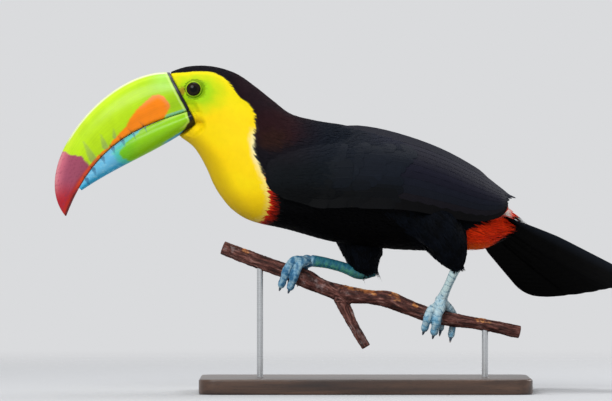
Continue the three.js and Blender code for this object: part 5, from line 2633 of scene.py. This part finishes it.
@dataclass
class Bill:
    """The two halves of the bill.

    Args:
        culmen: Bezier of the top ridge, [x, z].
        tomium: Bezier of the biting edge.
        underside: Bezier of the lower outline.
        half_widths: half width at even steps from base to tip.
        lower_share: how far the lower half follows the biting edge.
        narrowing: share by which a section narrows away from the biting edge.
        teeth: the notches of the biting edge, [x, z].
        orange: outline of the orange flash, [x, z].
        green: outline of the lower half's green.
        wedges: foot, top and half breadth of the grey-green marks over the biting edge.
        red_from: the line under which the upper half's tip is red.
        upper_rim: the upper half's rear rim.
        lower_rim: the lower half's.
        rows: rings along each half.
        sides: places round each ring.
    """

    culmen: Line = ((-156.3, 255.6), (-206.4, 259.5), (-272.7, 179.4), (-239.2, 140.2))
    tomium: Line = ((-140, 225.2), (-179.8, 212.9), (-216.6, 200.5), (-239.2, 140.2))
    underside: Line = ((-135.2, 214.4), (-163.9, 192.9), (-195.9, 182.5), (-227, 161))
    half_widths: Numbers = (15.6, 15.2, 13.8, 12, 9.8, 7.4, 4.6, 0.9)
    lower_share: float = 0.86
    narrowing: float = NARROWING
    teeth: Line = (
        (-175.2, 210.4), (-184, 204.5), (-192.8, 199.5), (-200.8, 193.5), (-208.8, 185.6), (-216.2, 176.6),
        (-221.6, 168.5),
    )  # fmt: skip
    orange: Line = (
        (-155.6, 228.8), (-157.6, 232.8), (-160.8, 236.4), (-165.6, 238), (-169.6, 236.8), (-175.2, 232.8),
        (-181.6, 226.4), (-187.2, 219.2), (-190.4, 212.8), (-195.2, 208), (-201.6, 200.8), (-205.6, 195.2),
        (-210.4, 192), (-215.2, 187.2), (-220, 180.8), (-228, 164), (-218, 158), (-165, 200), (-160.5, 219),
        (-157, 224.5),
    )  # fmt: skip
    green: Line = (
        (-197.6, 192), (-192.8, 196.8), (-187.2, 202.8), (-180, 209.2), (-172, 214.8), (-164, 219.2),
        (-152, 224), (-136.8, 228), (-135.2, 216.8), (-143.2, 209.2), (-151.2, 204), (-156.8, 200),
        (-162.4, 194.4), (-172, 188), (-180, 184), (-187.2, 184.8), (-194.4, 187.2),
    )  # fmt: skip
    wedges: tuple[tuple[tuple[float, float], tuple[float, float], float], ...] = (
        ((-217.6, 186.5), (-225.0, 200.2), 3.0),
        ((-207.6, 196.2), (-211.0, 205.4), 2.4),
        ((-200.2, 204), (-200.8, 210.5), 1.5),
    )
    red_from: Line = (
        (-243, 193.5), (-236, 190), (-226.4, 188.2), (-222.4, 183.4), (-219.2, 180.4), (-216, 176),
    )  # fmt: skip
    upper_rim: Line = ((-156.4, 257), (-151, 246), (-145.5, 235.5), (-139.4, 224.5))
    lower_rim: Line = ((-139.4, 226), (-136.4, 219.5), (-135.2, 214.4), (-141.4, 208.2), (-149.5, 202.6))
    rows: int = 300
    sides: int = 120

    def halves(self) -> tuple[tuple[Array, Array], tuple[Array, Array]]:
        """Rings of both halves, each with [share along, height] at every place.

        Returns:
            Rings and those two numbers for the upper half, then for the lower one.
        """
        angle = full_turn(self.sides)[None]
        share = (0.995 * (1 - (1 - np.linspace(0, 1, self.rows)) ** 1.25))[:, None]
        made = []
        for upper in (True, False):
            at = share if upper else share * self.lower_share
            top = bezier(self.culmen, at) if upper else bezier(self.tomium, at) - np.array([0.0, 0.3])
            low = bezier(self.tomium, at) if upper else bezier(self.underside, share)
            height = 0.5 + 0.5 * np.cos(angle) + 0 * share
            edge = height if upper else 1 - height
            power = 0.62 - 0.36 * fade(0.22, 0.0, edge)
            width = values(self.half_widths, at) * (1 - self.narrowing * edge**3)
            y = width * np.sign(np.sin(angle)) * np.abs(np.sin(angle)) ** power
            flat = low + (top - low) * height[..., None]
            if upper:
                y = y * (1 - 0.1 * bell(height - 0.93, 0.035))
                teeth = self.notches(flat)
                lift = 0.75 * teeth * fade(0.12, 0.0, edge) * np.abs(np.sin(angle)) ** 0.2
                flat = flat + np.stack([-0.3 * lift, lift], -1)
                y = y * (1 - 0.05 * teeth * fade(0.2, 0.0, edge))
            rings = np.stack([flat[..., 0], y, flat[..., 1]], -1)
            made.append((rings, np.stack([at + 0 * height, height], -1)))
        return made[0], made[1]

    def notches(self, flat: Array) -> Array:
        """1 in the notches of the biting edge, falling off within a millimetre.

        Args:
            flat: places, [x, z].

        Returns:
            One value for each place.
        """
        found = np.zeros(flat.shape[:-1])
        for x, z in self.teeth:
            ahead = (flat[..., 0] - x) * -0.75 + (flat[..., 1] - z) * -0.65
            found = np.maximum(found, np.where(ahead < 0, np.exp(ahead / 0.9), np.exp(-ahead / 0.35)))
        return found

    def upper_colours(self, p: Array, height: Array) -> Array:
        """Lime with an orange flash along the biting edge, a wine-red tip, and a painted highlight along the
        ridge.

        Args:
            p: rows of places.
            height: from the biting edge, 0, to the ridge, 1.

        Returns:
            Rows of linear colours.
        """
        x, _, z = p.T
        wander = 0.5 * ripple(p, 5, 31) + 0.25 * ripple(p, 1.8, 32)
        t = np.linspace(0, 1, 60)
        ridge, edge = line_gap(bezier(self.culmen, t), x, z), line_gap(bezier(self.tomium, t), x, z)
        lime = layered(
            plain("#ACD808", len(p)),
            (0.9 * fade(-178, -160, x) * fade(236, 246, z), "#A6DC50"),
            (0.7 * fade(-170, -195, x), "#BEE608"),
            (0.8 * fade(-160, -150, x) * fade(244, 234, z), "#9CCB0C"),
            # painted highlight: paler lime near the ridge
            (0.5 * fade(7, 2, ridge) * fade(-160, -185, x), "#D8F03C"),
        )
        orange = inside_outline(self.orange, x, z) + 0.7 * wander
        blush = 0.7 * fade(5.0, 0.5, orange) * fade(222, 235, z)
        flash = blend_to(plain("#FF8800", len(p)), blush, "#FA9A5C")
        sea = fade(2.8, 1.7, edge + 0.3 * wander) * fade(-160.5, -157.5, x)
        colour = blend_to(mix(lime, flash, fade(-0.5, 0.7, orange)), 0.9 * sea, "#8CC8B4")
        for low, high, breadth in self.wedges:
            t, off = stroke(np.stack([x, z], 1) - low, np.subtract(high, low))
            wide = breadth * (1 - 0.85 * t)
            shade = 0.62 * fade(wide + 0.7, wide - 0.4, off + 0.4 * wander) * (1 - 0.5 * t)
            colour = blend_to(colour, shade, "#8A9C62")
        # painted highlight: a whitish line along the ridge
        colour = blend_to(colour, 0.9 * fade(1.9, 0.9, ridge) * fade(196, 206, z), "#EDF0C4")
        red = layered(
            plain("#A04A62", len(p)),
            # painted highlight: paler pink along the ridge of the red tip
            (fade(9, 2, ridge), "#C9687A"),
            (0.8 * fade(3.5, 1.0, ridge), "#D98A90"),
            (fade(172, 152, z), "#B01C28"),
            (0.9 * fade(5.5, 2.0, edge) * fade(186, 165, z), "#B8260E"),
            (0.9 * fade(2.6, 1.0, edge) * fade(166, 156, z), "#571009"),
            (0.35 * fade(0.2, 0.8, ripple(p, 2.2, 35)), "#7E2F48"),
        )
        strip = fade(3.4, 2.2, edge + 0.3 * wander) * fade(190, 184, z) * fade(160, 170, z)
        base = line_gap(self.upper_rim, x, z) + 0.2 * wander
        return layered(
            mix(colour, red, fade(-0.9, 0.9, wander - line_above(self.red_from, x, z))),
            (0.8 * strip, "#D9480E"),
            # painted shade in the notches of the biting edge
            (0.45 * self.notches(p[:, [0, 2]]) * fade(0.2, 0.04, height), "#3A4A40"),
            (0.6 * fade(1.2, 0.4, np.abs(base - 3.6)), "#D2EE84"),
            (fade(2.9, 2.1, base), "#16141F"),
            # painted sheen: a grey line in the black band at the bill's base, near its top
            (0.5 * fade(0.8, 0.2, np.abs(base - 1.5)) * fade(236, 244, z), "#565C6A"),
        )

    def lower_colours(self, p: Array) -> Array:
        """Green from the cheek far forward, pale blue from the biting edge round to an azure lower edge.

        Args:
            p: rows of places.

        Returns:
            Rows of linear colours.
        """
        x, _, z = p.T
        wander = 0.5 * ripple(p, 5, 33) + 0.3 * ripple(p, 1.8, 34)
        t = np.linspace(0, 1, 60)
        top, under = line_gap(bezier(self.tomium, t), x, z), line_gap(bezier(self.underside, t), x, z)
        blue = layered(
            plain("#62B2D6", len(p)),
            (0.8 * fade(5.0, 1.5, under) * fade(-160, -185, x), "#109CC8"),
            (0.5 * fade(0.0, 0.8, wander + 0.3 * ripple(p, 9, 36)), "#8CC8DC"),
        )
        green = inside_outline(self.green, x, z) + 1.2 * wander
        near = 0.9 * fade(-6.5, -1.0, green) * fade(-175, -190, x)
        leaf = layered(
            plain("#8AC800", len(p)),
            (fade(-176, -194, x), "#70BE0E"),
            (0.6 * fade(-160, -148, x), "#92CC04"),
        )
        colour = mix(mix(blue, plain("#46BFA6", len(p)), near), leaf, fade(-0.9, 1.1, green))
        colour = blend_to(colour, 0.85 * fade(2.2, 1.0, top) * fade(-166, -156, x), "#C4E85C")
        # dark blue-grey strokes under the notches of the biting edge: partly marks on the horn, partly
        # painted shadow of the notches
        for mx, mz in self.teeth:
            t, off = stroke(np.stack([x - mx + 0.8, z - mz - 1.6], 1), np.array([1.8, -4.4]))
            wide = (1.5 if mx < -188 else 0.7) * (1 - 0.8 * t)
            shade = 0.75 * fade(wide + 0.5, wide - 0.3, off + 0.3 * wander) * (1 - 0.5 * t)
            colour = blend_to(colour, shade, "#255A80")
        rear = line_gap(self.lower_rim, x, z) + 0.25 * wander
        lower_edge = fade(2.0, 1.1, under + 0.2 * wander) * fade(-143, -147, x) * fade(-164, -157, x)
        band = np.interp(z, [202.6, 206, 210, 214, 219, 225], [0.9, 1.8, 3.2, 4.6, 4.4, 3.2])
        return layered(
            colour,
            (0.75 * fade(1.4, 0.5, np.abs(rear - 5.0)) * fade(209, 213, z), "#BFE460"),
            (0.9 * lower_edge, "#1E9CC4"),
            (fade(band + 0.4, band - 0.4, rear), "#14121C"),
        )

    def build(self, finish: Material) -> list[Piece]:
        """Both halves with their colours and maps.

        Args:
            finish: the horn's material.

        Returns:
            The two pieces.
        """
        made = []
        for name, (rings, chart) in zip(("bill_upper", "bill_lower"), self.halves()):
            vertices, faces = tube_mesh(rings)
            piece = put_mesh(f"{name}_horn", vertices, faces)
            chart = np.concatenate([chart.reshape(-1, 2), chart[[0, -1], 0]])
            upper = name == "bill_upper"
            colours = self.upper_colours(vertices, chart[:, 1]) if upper else self.lower_colours(vertices)
            tint(piece, "Tint", colours)
            unwrap(piece, "Horn", np.clip(chart[:, ::-1], 0.01, 0.99))
            made.append(dress(piece, finish, name, name))
        return made


@dataclass
class Eyes:
    """The two eyeballs, each with its pole outwards.

    Args:
        rows: rings from pole to pole.
        sides: places round each ring.
        cornea: how far the cornea stands over the ball, in millimetres.
    """

    rows: int = 48
    sides: int = 64
    cornea: float = 0.25

    def build(self, finish: Material) -> list[Piece]:
        """Both eyeballs.

        Args:
            finish: the eyes' material.

        Returns:
            The two pieces.
        """
        made = []
        for side in Side:
            polar = np.linspace(0.01, math.pi - 0.01, self.rows)[:, None]
            angle = full_turn(self.sides)[None]
            size = EYE_RADIUS - self.cornea * fade(0.7, 1.1, polar)
            off = size * np.sin(polar)
            y = EYE_DEPTH * side.value + side.value * size * np.cos(polar)
            x, z = EYE_AT[0] + off * np.cos(angle), EYE_AT[1] + off * np.sin(angle)
            vertices, faces = tube_mesh(np.stack(np.broadcast_arrays(x, y, z), -1))
            name = f"eye_{side.label()}"
            piece = put_mesh(f"{name}_ball", vertices, faces)
            number(piece, "from_axis", np.hypot(vertices[:, 0] - EYE_AT[0], vertices[:, 2] - EYE_AT[1]) / 10)
            made.append(dress(piece, finish, "eye", name))
        return made


@dataclass
class Claws:
    """Curved cones at the toes' ends.

    Args:
        length: along the curve, in millimetres.
        radius: at the root.
        tip: share of the radius at the tip.
        curl: degrees that each turns.
        rows: rings along each claw.
        sides: places round each ring.
    """

    length: float = 10
    radius: float = 1.8
    tip: float = 0.1
    curl: float = 75
    rows: int = 40
    sides: int = 24

    def rings(self, leg: Leg, toe: ToeSpec) -> tuple[Array, Array]:
        """Rings of one claw: an arc that starts in the toe and turns in under the branch.

        Args:
            leg: the leg.
            toe: the toe.

        Returns:
            Places as [ring, place, xyz], and the share along the claw at each.
        """
        course = leg.toe_course(toe)
        start, before, end = course.at(np.array([0.94, 0.985, 1.0]) * course.length())
        along = unit(end - before)
        away = np.array([0.0, -float(toe.way), 0.0])
        inward = unit(away + along * toe.way * along[1])
        turn = math.radians(self.curl)
        big = self.length / turn
        s = np.linspace(-0.06, 1, self.rows)[:, None]
        line = start + along * big * np.sin(turn * s) + inward * big * (1 - np.cos(turn * s))
        ahead = along * np.cos(turn * s) + inward * np.sin(turn * s)
        level = np.cross(along, inward)[None]
        other = np.cross(ahead, level)
        size = self.radius * (1 - (1 - self.tip) * np.clip(s, 0, 1) ** 1.15)
        angle = full_turn(self.sides)[None, :, None]
        ring = 0.8 * level[:, None] * np.cos(angle) + other[:, None] * np.sin(angle)
        ring = ring * (1 - 0.12 * np.maximum(0, np.sin(angle)))
        return line[:, None] + size[..., None] * ring, np.repeat(s[:, 0], self.sides)

    def build(self, finish: Material) -> list[Piece]:
        """All eight claws.

        Args:
            finish: the horn's material.

        Returns:
            The eight pieces.
        """
        made = []
        for leg in LEGS:
            for toe in leg.toes:
                rings, share = self.rings(leg, toe)
                vertices, faces = tube_mesh(rings)
                share = np.append(share, [0.0, 1.0])
                name = f"claw_{leg.side.label()}_{toe.number}"
                piece = put_mesh(f"{name}_horn", vertices, faces)
                horn, root = (0.9 * fade(0.5, 0.95, share), "#A58C76"), (fade(0.2, 0.0, share), "#7FA9BC")
                tint(piece, "Tint", layered(plain("#46596A", len(vertices)), horn, root))
                sweep = np.arctan2(vertices[:, 1] - vertices[:, 1].mean(), vertices[:, 2]) / 7 + 0.5
                unwrap(piece, "Horn", np.stack([np.clip(sweep, 0, 1), np.clip(share, 0, 1)], 1))
                made.append(dress(piece, finish, "claw", name))
        return made


# ------------------------------------------------------------------ branch and stand


@dataclass
class Branch:
    """The perch: branch and twig grown together, with wrinkled bark, knots, scuffed patches that also paint a
    highlight on top, and sawn ends.

    Args:
        voxel: size of the voxels that join branch and twig, in millimetres.
        rounds: how often the join is smoothed.
        wrinkle: depth of the bark's wrinkles, in millimetres.
        crack: depth of its fine cracks.
    """

    voxel: float = 0.55
    rounds: int = 7
    wrinkle: float = 0.45
    crack: float = 0.22

    def shells(self) -> Piece:
        """Closed tubes of branch and twig, the twig's foot inside the branch.

        Returns:
            The object with the tubes.
        """
        parts = []
        for line, radii, flare in ((PERCH.line, PERCH.radii, 0.0), (PERCH.twig, PERCH.twig_radii, 0.12)):
            s = np.linspace(0, 1, 220)
            tangent = unit(np.gradient(spline(line, s), axis=0))
            level = unit(np.cross(tangent, np.array([0.1, 1.0, 0.0])))
            other = np.cross(level, tangent)
            angle = full_turn(40)[None, :, None]
            size = (values(radii, s) * (1 + flare * np.exp(-s / 0.2)))[:, None, None]
            ring = level[:, None] * np.cos(angle) + other[:, None] * np.sin(angle)
            parts.append(tube_mesh(spline(line, s)[:, None] + size * ring))
        return put_mesh("branch_shells", *merge(parts), closed=False)

    def along_grain(self, places: Array) -> tuple[Array, Array, Array]:
        """Coordinates that follow the wood's grain.

        Each limb gives [cos, sin] of the angle round it and the distance along it; where the limbs join,
        the two are mixed by how near each is.

        Args:
            places: the bark's places.

        Returns:
            The coordinates, the way out of the wood, and the angle round the branch.
        """
        total = np.zeros((len(places), 3))
        out = np.zeros((len(places), 3))
        weights = np.zeros(len(places))
        turn = np.zeros(len(places))
        for line, radii in ((PERCH.line, PERCH.radii), (PERCH.twig, PERCH.twig_radii)):
            s = np.linspace(0, 1, 500)
            course = spline(line, s)
            run = np.concatenate([[0], np.cumsum(np.linalg.norm(np.diff(course, axis=0), axis=1))])
            k = np.argmin(((places[:, None, ::2] - course[None, :, ::2]) ** 2).sum(-1), axis=1)
            tangent = unit(np.gradient(course, axis=0))[k]
            away = places - course[k]
            ahead = (away * tangent).sum(1, keepdims=True)
            away = away - ahead * tangent
            gap = np.linalg.norm(away, axis=1) / values(radii, s)[k]
            less = 0.05 if line is PERCH.twig else 1.0
            weight = np.exp(-4 * np.maximum(gap - 1, 0)) * less ** (gap > 1.25) + 1e-6
            if line is PERCH.line:
                turn = np.arctan2(away[:, 1], away[:, 2])
                weight = weight * 1.2
            away = unit(away)
            chart = np.stack([away[:, 1] * 5, (away[:, 2] + away[:, 0]) * 5, run[k] + ahead[:, 0]], 1)
            total += weight[:, None] * chart
            out += weight[:, None] * away
            weights += weight
        return total / weights[:, None], unit(out), turn

    def build(self, finish: Material) -> Piece:
        """Branch and twig in one piece.

        Args:
            finish: the bark's material.

        Returns:
            The piece.
        """
        places, quads = shaped(self.shells(), self.voxel, self.rounds)
        chart, out, turn = self.along_grain(places)
        long_grain = chart * np.array([1.0, 1.0, 0.22])
        broad, fine = ripple(long_grain, 3.2, 41), ripple(long_grain, 1.3, 42)
        rings = ripple(chart * np.array([0.3, 0.3, 1.0]), 3.0, 43)
        cracks = bell(ripple(long_grain, 1.9, 44), 0.1)
        rise = self.wrinkle * (0.6 * broad + 0.35 * fine + 0.25 * rings) - self.crack * cracks
        knots = np.zeros(len(places))
        for x, at, size in PERCH.knots:
            near = np.hypot((places[:, 0] - x) / 1.4, 6 * np.angle(np.exp(1j * (turn - at))))
            knots = np.maximum(knots, bell(near, size))
            rise = rise + 0.5 * size * bell(near, size) - 0.7 * size * bell(near, 0.42 * size)
        ends = np.array([PERCH.line[0], PERCH.line[-1], PERCH.twig[-1]])
        cut = np.linalg.norm(places[:, None] - ends, axis=2).min(1)
        rise = rise * fade(4.8, 7.5, cut)
        piece = put_mesh("branch_bark", places + rise[:, None] * out, [quads], closed=False)
        # scuffed patches on the branch's top: wear, and a painted highlight of its lit top
        worn_and_lit = np.zeros(len(places))
        up = places[:, 2] - np.interp(places[:, 0], *np.array(PERCH.line)[:, [0, 2]].T)
        for x, reach in PERCH.worn_and_lit:
            worn_and_lit = np.maximum(worn_and_lit, bell(places[:, 0] - x, reach))
        number(piece, "worn_and_lit", worn_and_lit * fade(-1, 3.5, up + 1.5 * broad))
        # painted shade: lower in the hollows, cracks and knots, higher on the wrinkles' tops
        number(piece, "hollow_shade", np.clip(0.95 + 0.3 * broad - 0.3 * cracks - 0.3 * knots, 0.4, 1.2))
        for axis, column in zip("xyz", chart.T):
            number(piece, f"grain_{axis}", column)
        return dress(piece, finish, "bark", "perch_branch")


@dataclass
class Stand:
    """A waxed walnut plinth and two steel rods that hold the branch up.

    Args:
        size: length, breadth and height of the plinth.
        corner: radius of its corners.
        edge: radius of its rounded edges.
        rods: name and x of each rod.
        rod_radius: of the rods.
        socket: height where the rods start in the plinth.
    """

    size: tuple[float, float, float] = (264, 150, 12)
    corner: float = 14
    edge: float = 1.4
    rods: tuple[tuple[str, float], ...] = (("stand_rod_front", -84), ("stand_rod_rear", 96))
    rod_radius: float = 2.5
    socket: float = 6

    def plinth(self, finish: Material) -> Piece:
        """The plinth: rounded rectangles stacked up, drawn in at both edges.

        Args:
            finish: the wood's material.

        Returns:
            The piece.
        """
        length, breadth, height = self.size
        turn = np.linspace(0, math.pi / 2, 9)
        profile = np.linspace(0, math.pi / 2, 7)
        steps = [(self.edge * (1 - math.sin(a)), self.edge * (1 - math.cos(a))) for a in profile]
        steps += [(inset, height - low) for inset, low in reversed(steps)]
        rings = []
        for inset, level in steps:
            corners = []
            for quarter, (sx, sy) in enumerate(((1, 1), (-1, 1), (-1, -1), (1, -1))):
                middle = np.array([sx * (length / 2 - self.corner), sy * (breadth / 2 - self.corner)])
                a = turn + quarter * math.pi / 2
                corners.append(middle + (self.corner - inset) * np.stack([np.cos(a), np.sin(a)], 1))
            flat = np.concatenate(corners)
            rings.append(np.column_stack([flat, np.full(len(flat), level)]))
        piece = put_mesh("stand_plinth", *tube_mesh(np.array(rings)))
        return dress(piece, finish, "stand_wood", "stand_base")

    def rod(self, name: str, x: float, finish: Material) -> Piece:
        """One rod, from its socket to just under the branch's middle line.

        Args:
            name: the rod's name.
            x: its place along X.
            finish: the steel's material.

        Returns:
            The piece.
        """
        at = spline(PERCH.line, np.array(PERCH.share_at(x)))
        z = np.linspace(self.socket, at[2] - 1.5, 24)[:, None]
        a = full_turn(48)[None]
        ring = x + self.rod_radius * np.cos(a), at[1] + self.rod_radius * np.sin(a)
        piece = put_mesh(f"{name}_steel", *tube_mesh(np.stack(np.broadcast_arrays(*ring, z), -1)))
        return dress(piece, finish, "stand_steel", name)

    def build(self, wood: Material, steel: Material) -> list[Piece]:
        """Plinth and rods."""
        return [self.plinth(wood), *(self.rod(name, x, steel) for name, x in self.rods)]


# ------------------------------------------------------------------ studio


@dataclass(frozen=True)
class FloorFinish:
    """Matt painted board: pale grey under the stand, fading out into the even backdrop farther away.

    Args:
        name: the material's name.
        colour: of the paint.
        shadow: of its darker clouds.
        solid_to: distance up to which the board is solid, in metres.
        gone_at: distance where only the backdrop is left.
    """

    name: str = "Matt painted board"
    colour: str = "#C9CACC"
    shadow: str = "#C7C8CA"
    solid_to: float = 0.3
    gone_at: float = 1.5

    def material(self) -> Material:
        """The node material.

        Returns:
            The material.
        """
        made, tree, places = new_material(self.name)
        speckle = add_node(tree, "TexNoise", {"Vector": places, "Scale": 700.0, "Detail": 2.0})
        cloud = shade_noise(tree, places, 30, 0.2, 0.8)
        stops = ((0.0, self.shadow), (1.0, self.colour))
        surface = {
            "Base Color": add_node(tree, "ValToRGB", (cloud,), stops=stops),
            "Roughness": 0.9,
            "Specular IOR Level": 0.1,
            "Normal": add_node(tree, "Bump", {"Height": speckle, "Strength": 0.1, "Distance": 0.1 * MM}),
        }
        board = add_node(tree, "BsdfPrincipled", surface)
        away = add_node(tree, "VectorMath", (places,), "Value", operation="LENGTH")
        reach = (away, self.solid_to, self.gone_at)
        gone = add_node(tree, "MapRange", reach, interpolation_type="SMOOTHSTEP")
        clear = add_node(tree, "BsdfTransparent")
        add_node(tree, "OutputMaterial", {"Surface": add_node(tree, "MixShader", (gone, board, clear))})
        return made


@dataclass
class Studio:
    """A round floor that fades into an even backdrop, soft lamps, and a camera far away at the bird's height.

    Args:
        floor_radius: of the floor, in metres.
        lamps: name, place, aim, size and power of each lamp.
        daylight: colour and strength of the even light all round.
        backdrop: the colour that is seen behind everything.
        camera_at: the camera's place.
        view_width: breadth seen at the bird, in metres.
    """

    floor_radius: float = 1.6
    lamps: tuple[tuple[str, tuple[float, float, float], tuple[float, float, float], float, float], ...] = (
        ("key_lamp", (-0.75, -1.5, 1.25), (-0.05, 0.0, 0.16), 1.2, 27.0),
        ("top_lamp", (0.1, 0.3, 1.6), (0.0, 0.0, 0.15), 1.1, 10.0),
        ("rim_lamp", (1.3, 0.9, 0.9), (0.0, 0.0, 0.16), 0.8, 11.0),
    )
    daylight: tuple[str, float] = ("#F2F5FA", 0.43)
    backdrop: str = "#DADBDD"
    camera_at: tuple[float, float, float] = (-0.0472, -5.0, 0.1532)
    view_width: float = 0.4896

    def floor(self) -> Piece:
        """A flat disc, a little under the plinth's foot.

        Returns:
            The floor, without a material.
        """
        rows, sides = 24, 96
        angle = full_turn(sides)[None]
        reach = np.linspace(0.02, 1, rows)[:, None] * self.floor_radius / MM
        rings = np.stack(np.broadcast_arrays(reach * np.cos(angle), reach * np.sin(angle), -0.05), -1)
        vertices = np.append(rings.reshape(-1, 3), [[0.0, 0.0, -0.05]], axis=0)
        j = np.arange(sides)
        fan = np.stack([np.full(sides, rows * sides), j, (j + 1) % sides], 1)
        return put_mesh("studio_floor", vertices, [grid_quads(rows, sides, wrap=True), fan], closed=False)

    def world(self) -> bpy.types.World:
        """Even light, seen directly or in a mirror as the plain backdrop.

        Returns:
            The world.
        """
        made = bpy.data.worlds.new("Even daylight")
        made.use_nodes = True
        tree = made.node_tree
        tree.nodes.clear()
        ray = add_node(tree, "LightPath").node.outputs
        seen = add_node(tree, "Math", (ray["Is Camera Ray"], ray["Is Glossy Ray"]), operation="MAXIMUM")
        seen = add_node(tree, "Math", (seen, ray["Is Transmission Ray"]), operation="MAXIMUM")
        light = add_node(tree, "Background", ((*linear(self.daylight[0]), 1), self.daylight[1]))
        paper = add_node(tree, "Background", ((*linear(self.backdrop), 1), 1.0))
        add_node(tree, "OutputWorld", {"Surface": add_node(tree, "MixShader", (seen, light, paper))})
        return made

    def build(self) -> None:
        """Puts up floor, lamps, world and camera."""
        floor = self.floor()
        floor.data.materials.append(FloorFinish().material())
        for name, place, aim, size, power in self.lamps:
            light = bpy.data.lights.new(name, "AREA")
            light.shape, light.size, light.energy = "DISK", size, power
            lamp = bpy.data.objects.new(name, light)
            lamp.location = place
            way = Vector(aim) - Vector(place)
            lamp.rotation_euler = way.to_track_quat("-Z", "Y").to_euler()
            bpy.context.scene.collection.objects.link(lamp)
        bpy.context.scene.world = self.world()
        data = bpy.data.cameras.new("camera")
        data.sensor_width = 36
        data.lens = data.sensor_width * -self.camera_at[1] / self.view_width
        camera = bpy.data.objects.new("camera", data)
        camera.location = self.camera_at
        camera.rotation_euler = (math.pi / 2, 0, 0)
        bpy.context.scene.collection.objects.link(camera)
        bpy.context.scene.camera = camera
        bpy.context.scene.view_settings.view_transform = "Standard"


def main() -> None:
    """Dresses every piece of the toucan and its stand and sets up the studio."""
    logging.basicConfig(level=logging.INFO, format="%(message)s")
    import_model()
    small = FeatherFinish("Black body feathers", 5, 0.04, 0.03).material()
    golden = FeatherFinish("Golden bib feathers", 5, 0.02, 0.15, mottle=0.02, contrast=0.01).material()
    scarlet = FeatherFinish("Scarlet coverts", 5, 0.04, 0.08, mottle=0.1).material()
    large = FeatherFinish("Flight feathers", 90, 0.01, 0.07, 0.55, mottle=0.08, contrast=0.05).material()
    rectrices = FeatherFinish("Tail feathers", 60, 0.001, 0.01, 0.7, mottle=0.04, contrast=0.02).material()
    shoulder = FeatherFinish("Shoulder feathers", 8, 0.03, 0.05, mottle=0.08, contrast=0.04).material()
    body_skin = SkinFinish("Feathered skin").material()
    leg_skin = SkinFinish("Scaled leg skin", pebble=1.1, depth=0.04, roughness=0.48).material()
    Skin().build((body_skin, leg_skin))
    BodyCoat().build({Plumage.YELLOW: golden, Plumage.BLACK: small, Plumage.RED: scarlet})
    ThighCoat().build(small)
    WingCoat().build(shoulder, large)
    Tail().build(rectrices)
    Bill().build(KeratinFinish("Bill horn").material())
    Eyes().build(EyeFinish().material())
    Claws().build(KeratinFinish("Claw horn", streaks=16, roughness=0.35).material())
    Branch().build(BarkFinish().material())
    Stand().build(TimberFinish().material(), SteelFinish().material())
    Studio().build()


if __name__ == "__main__":
    main()
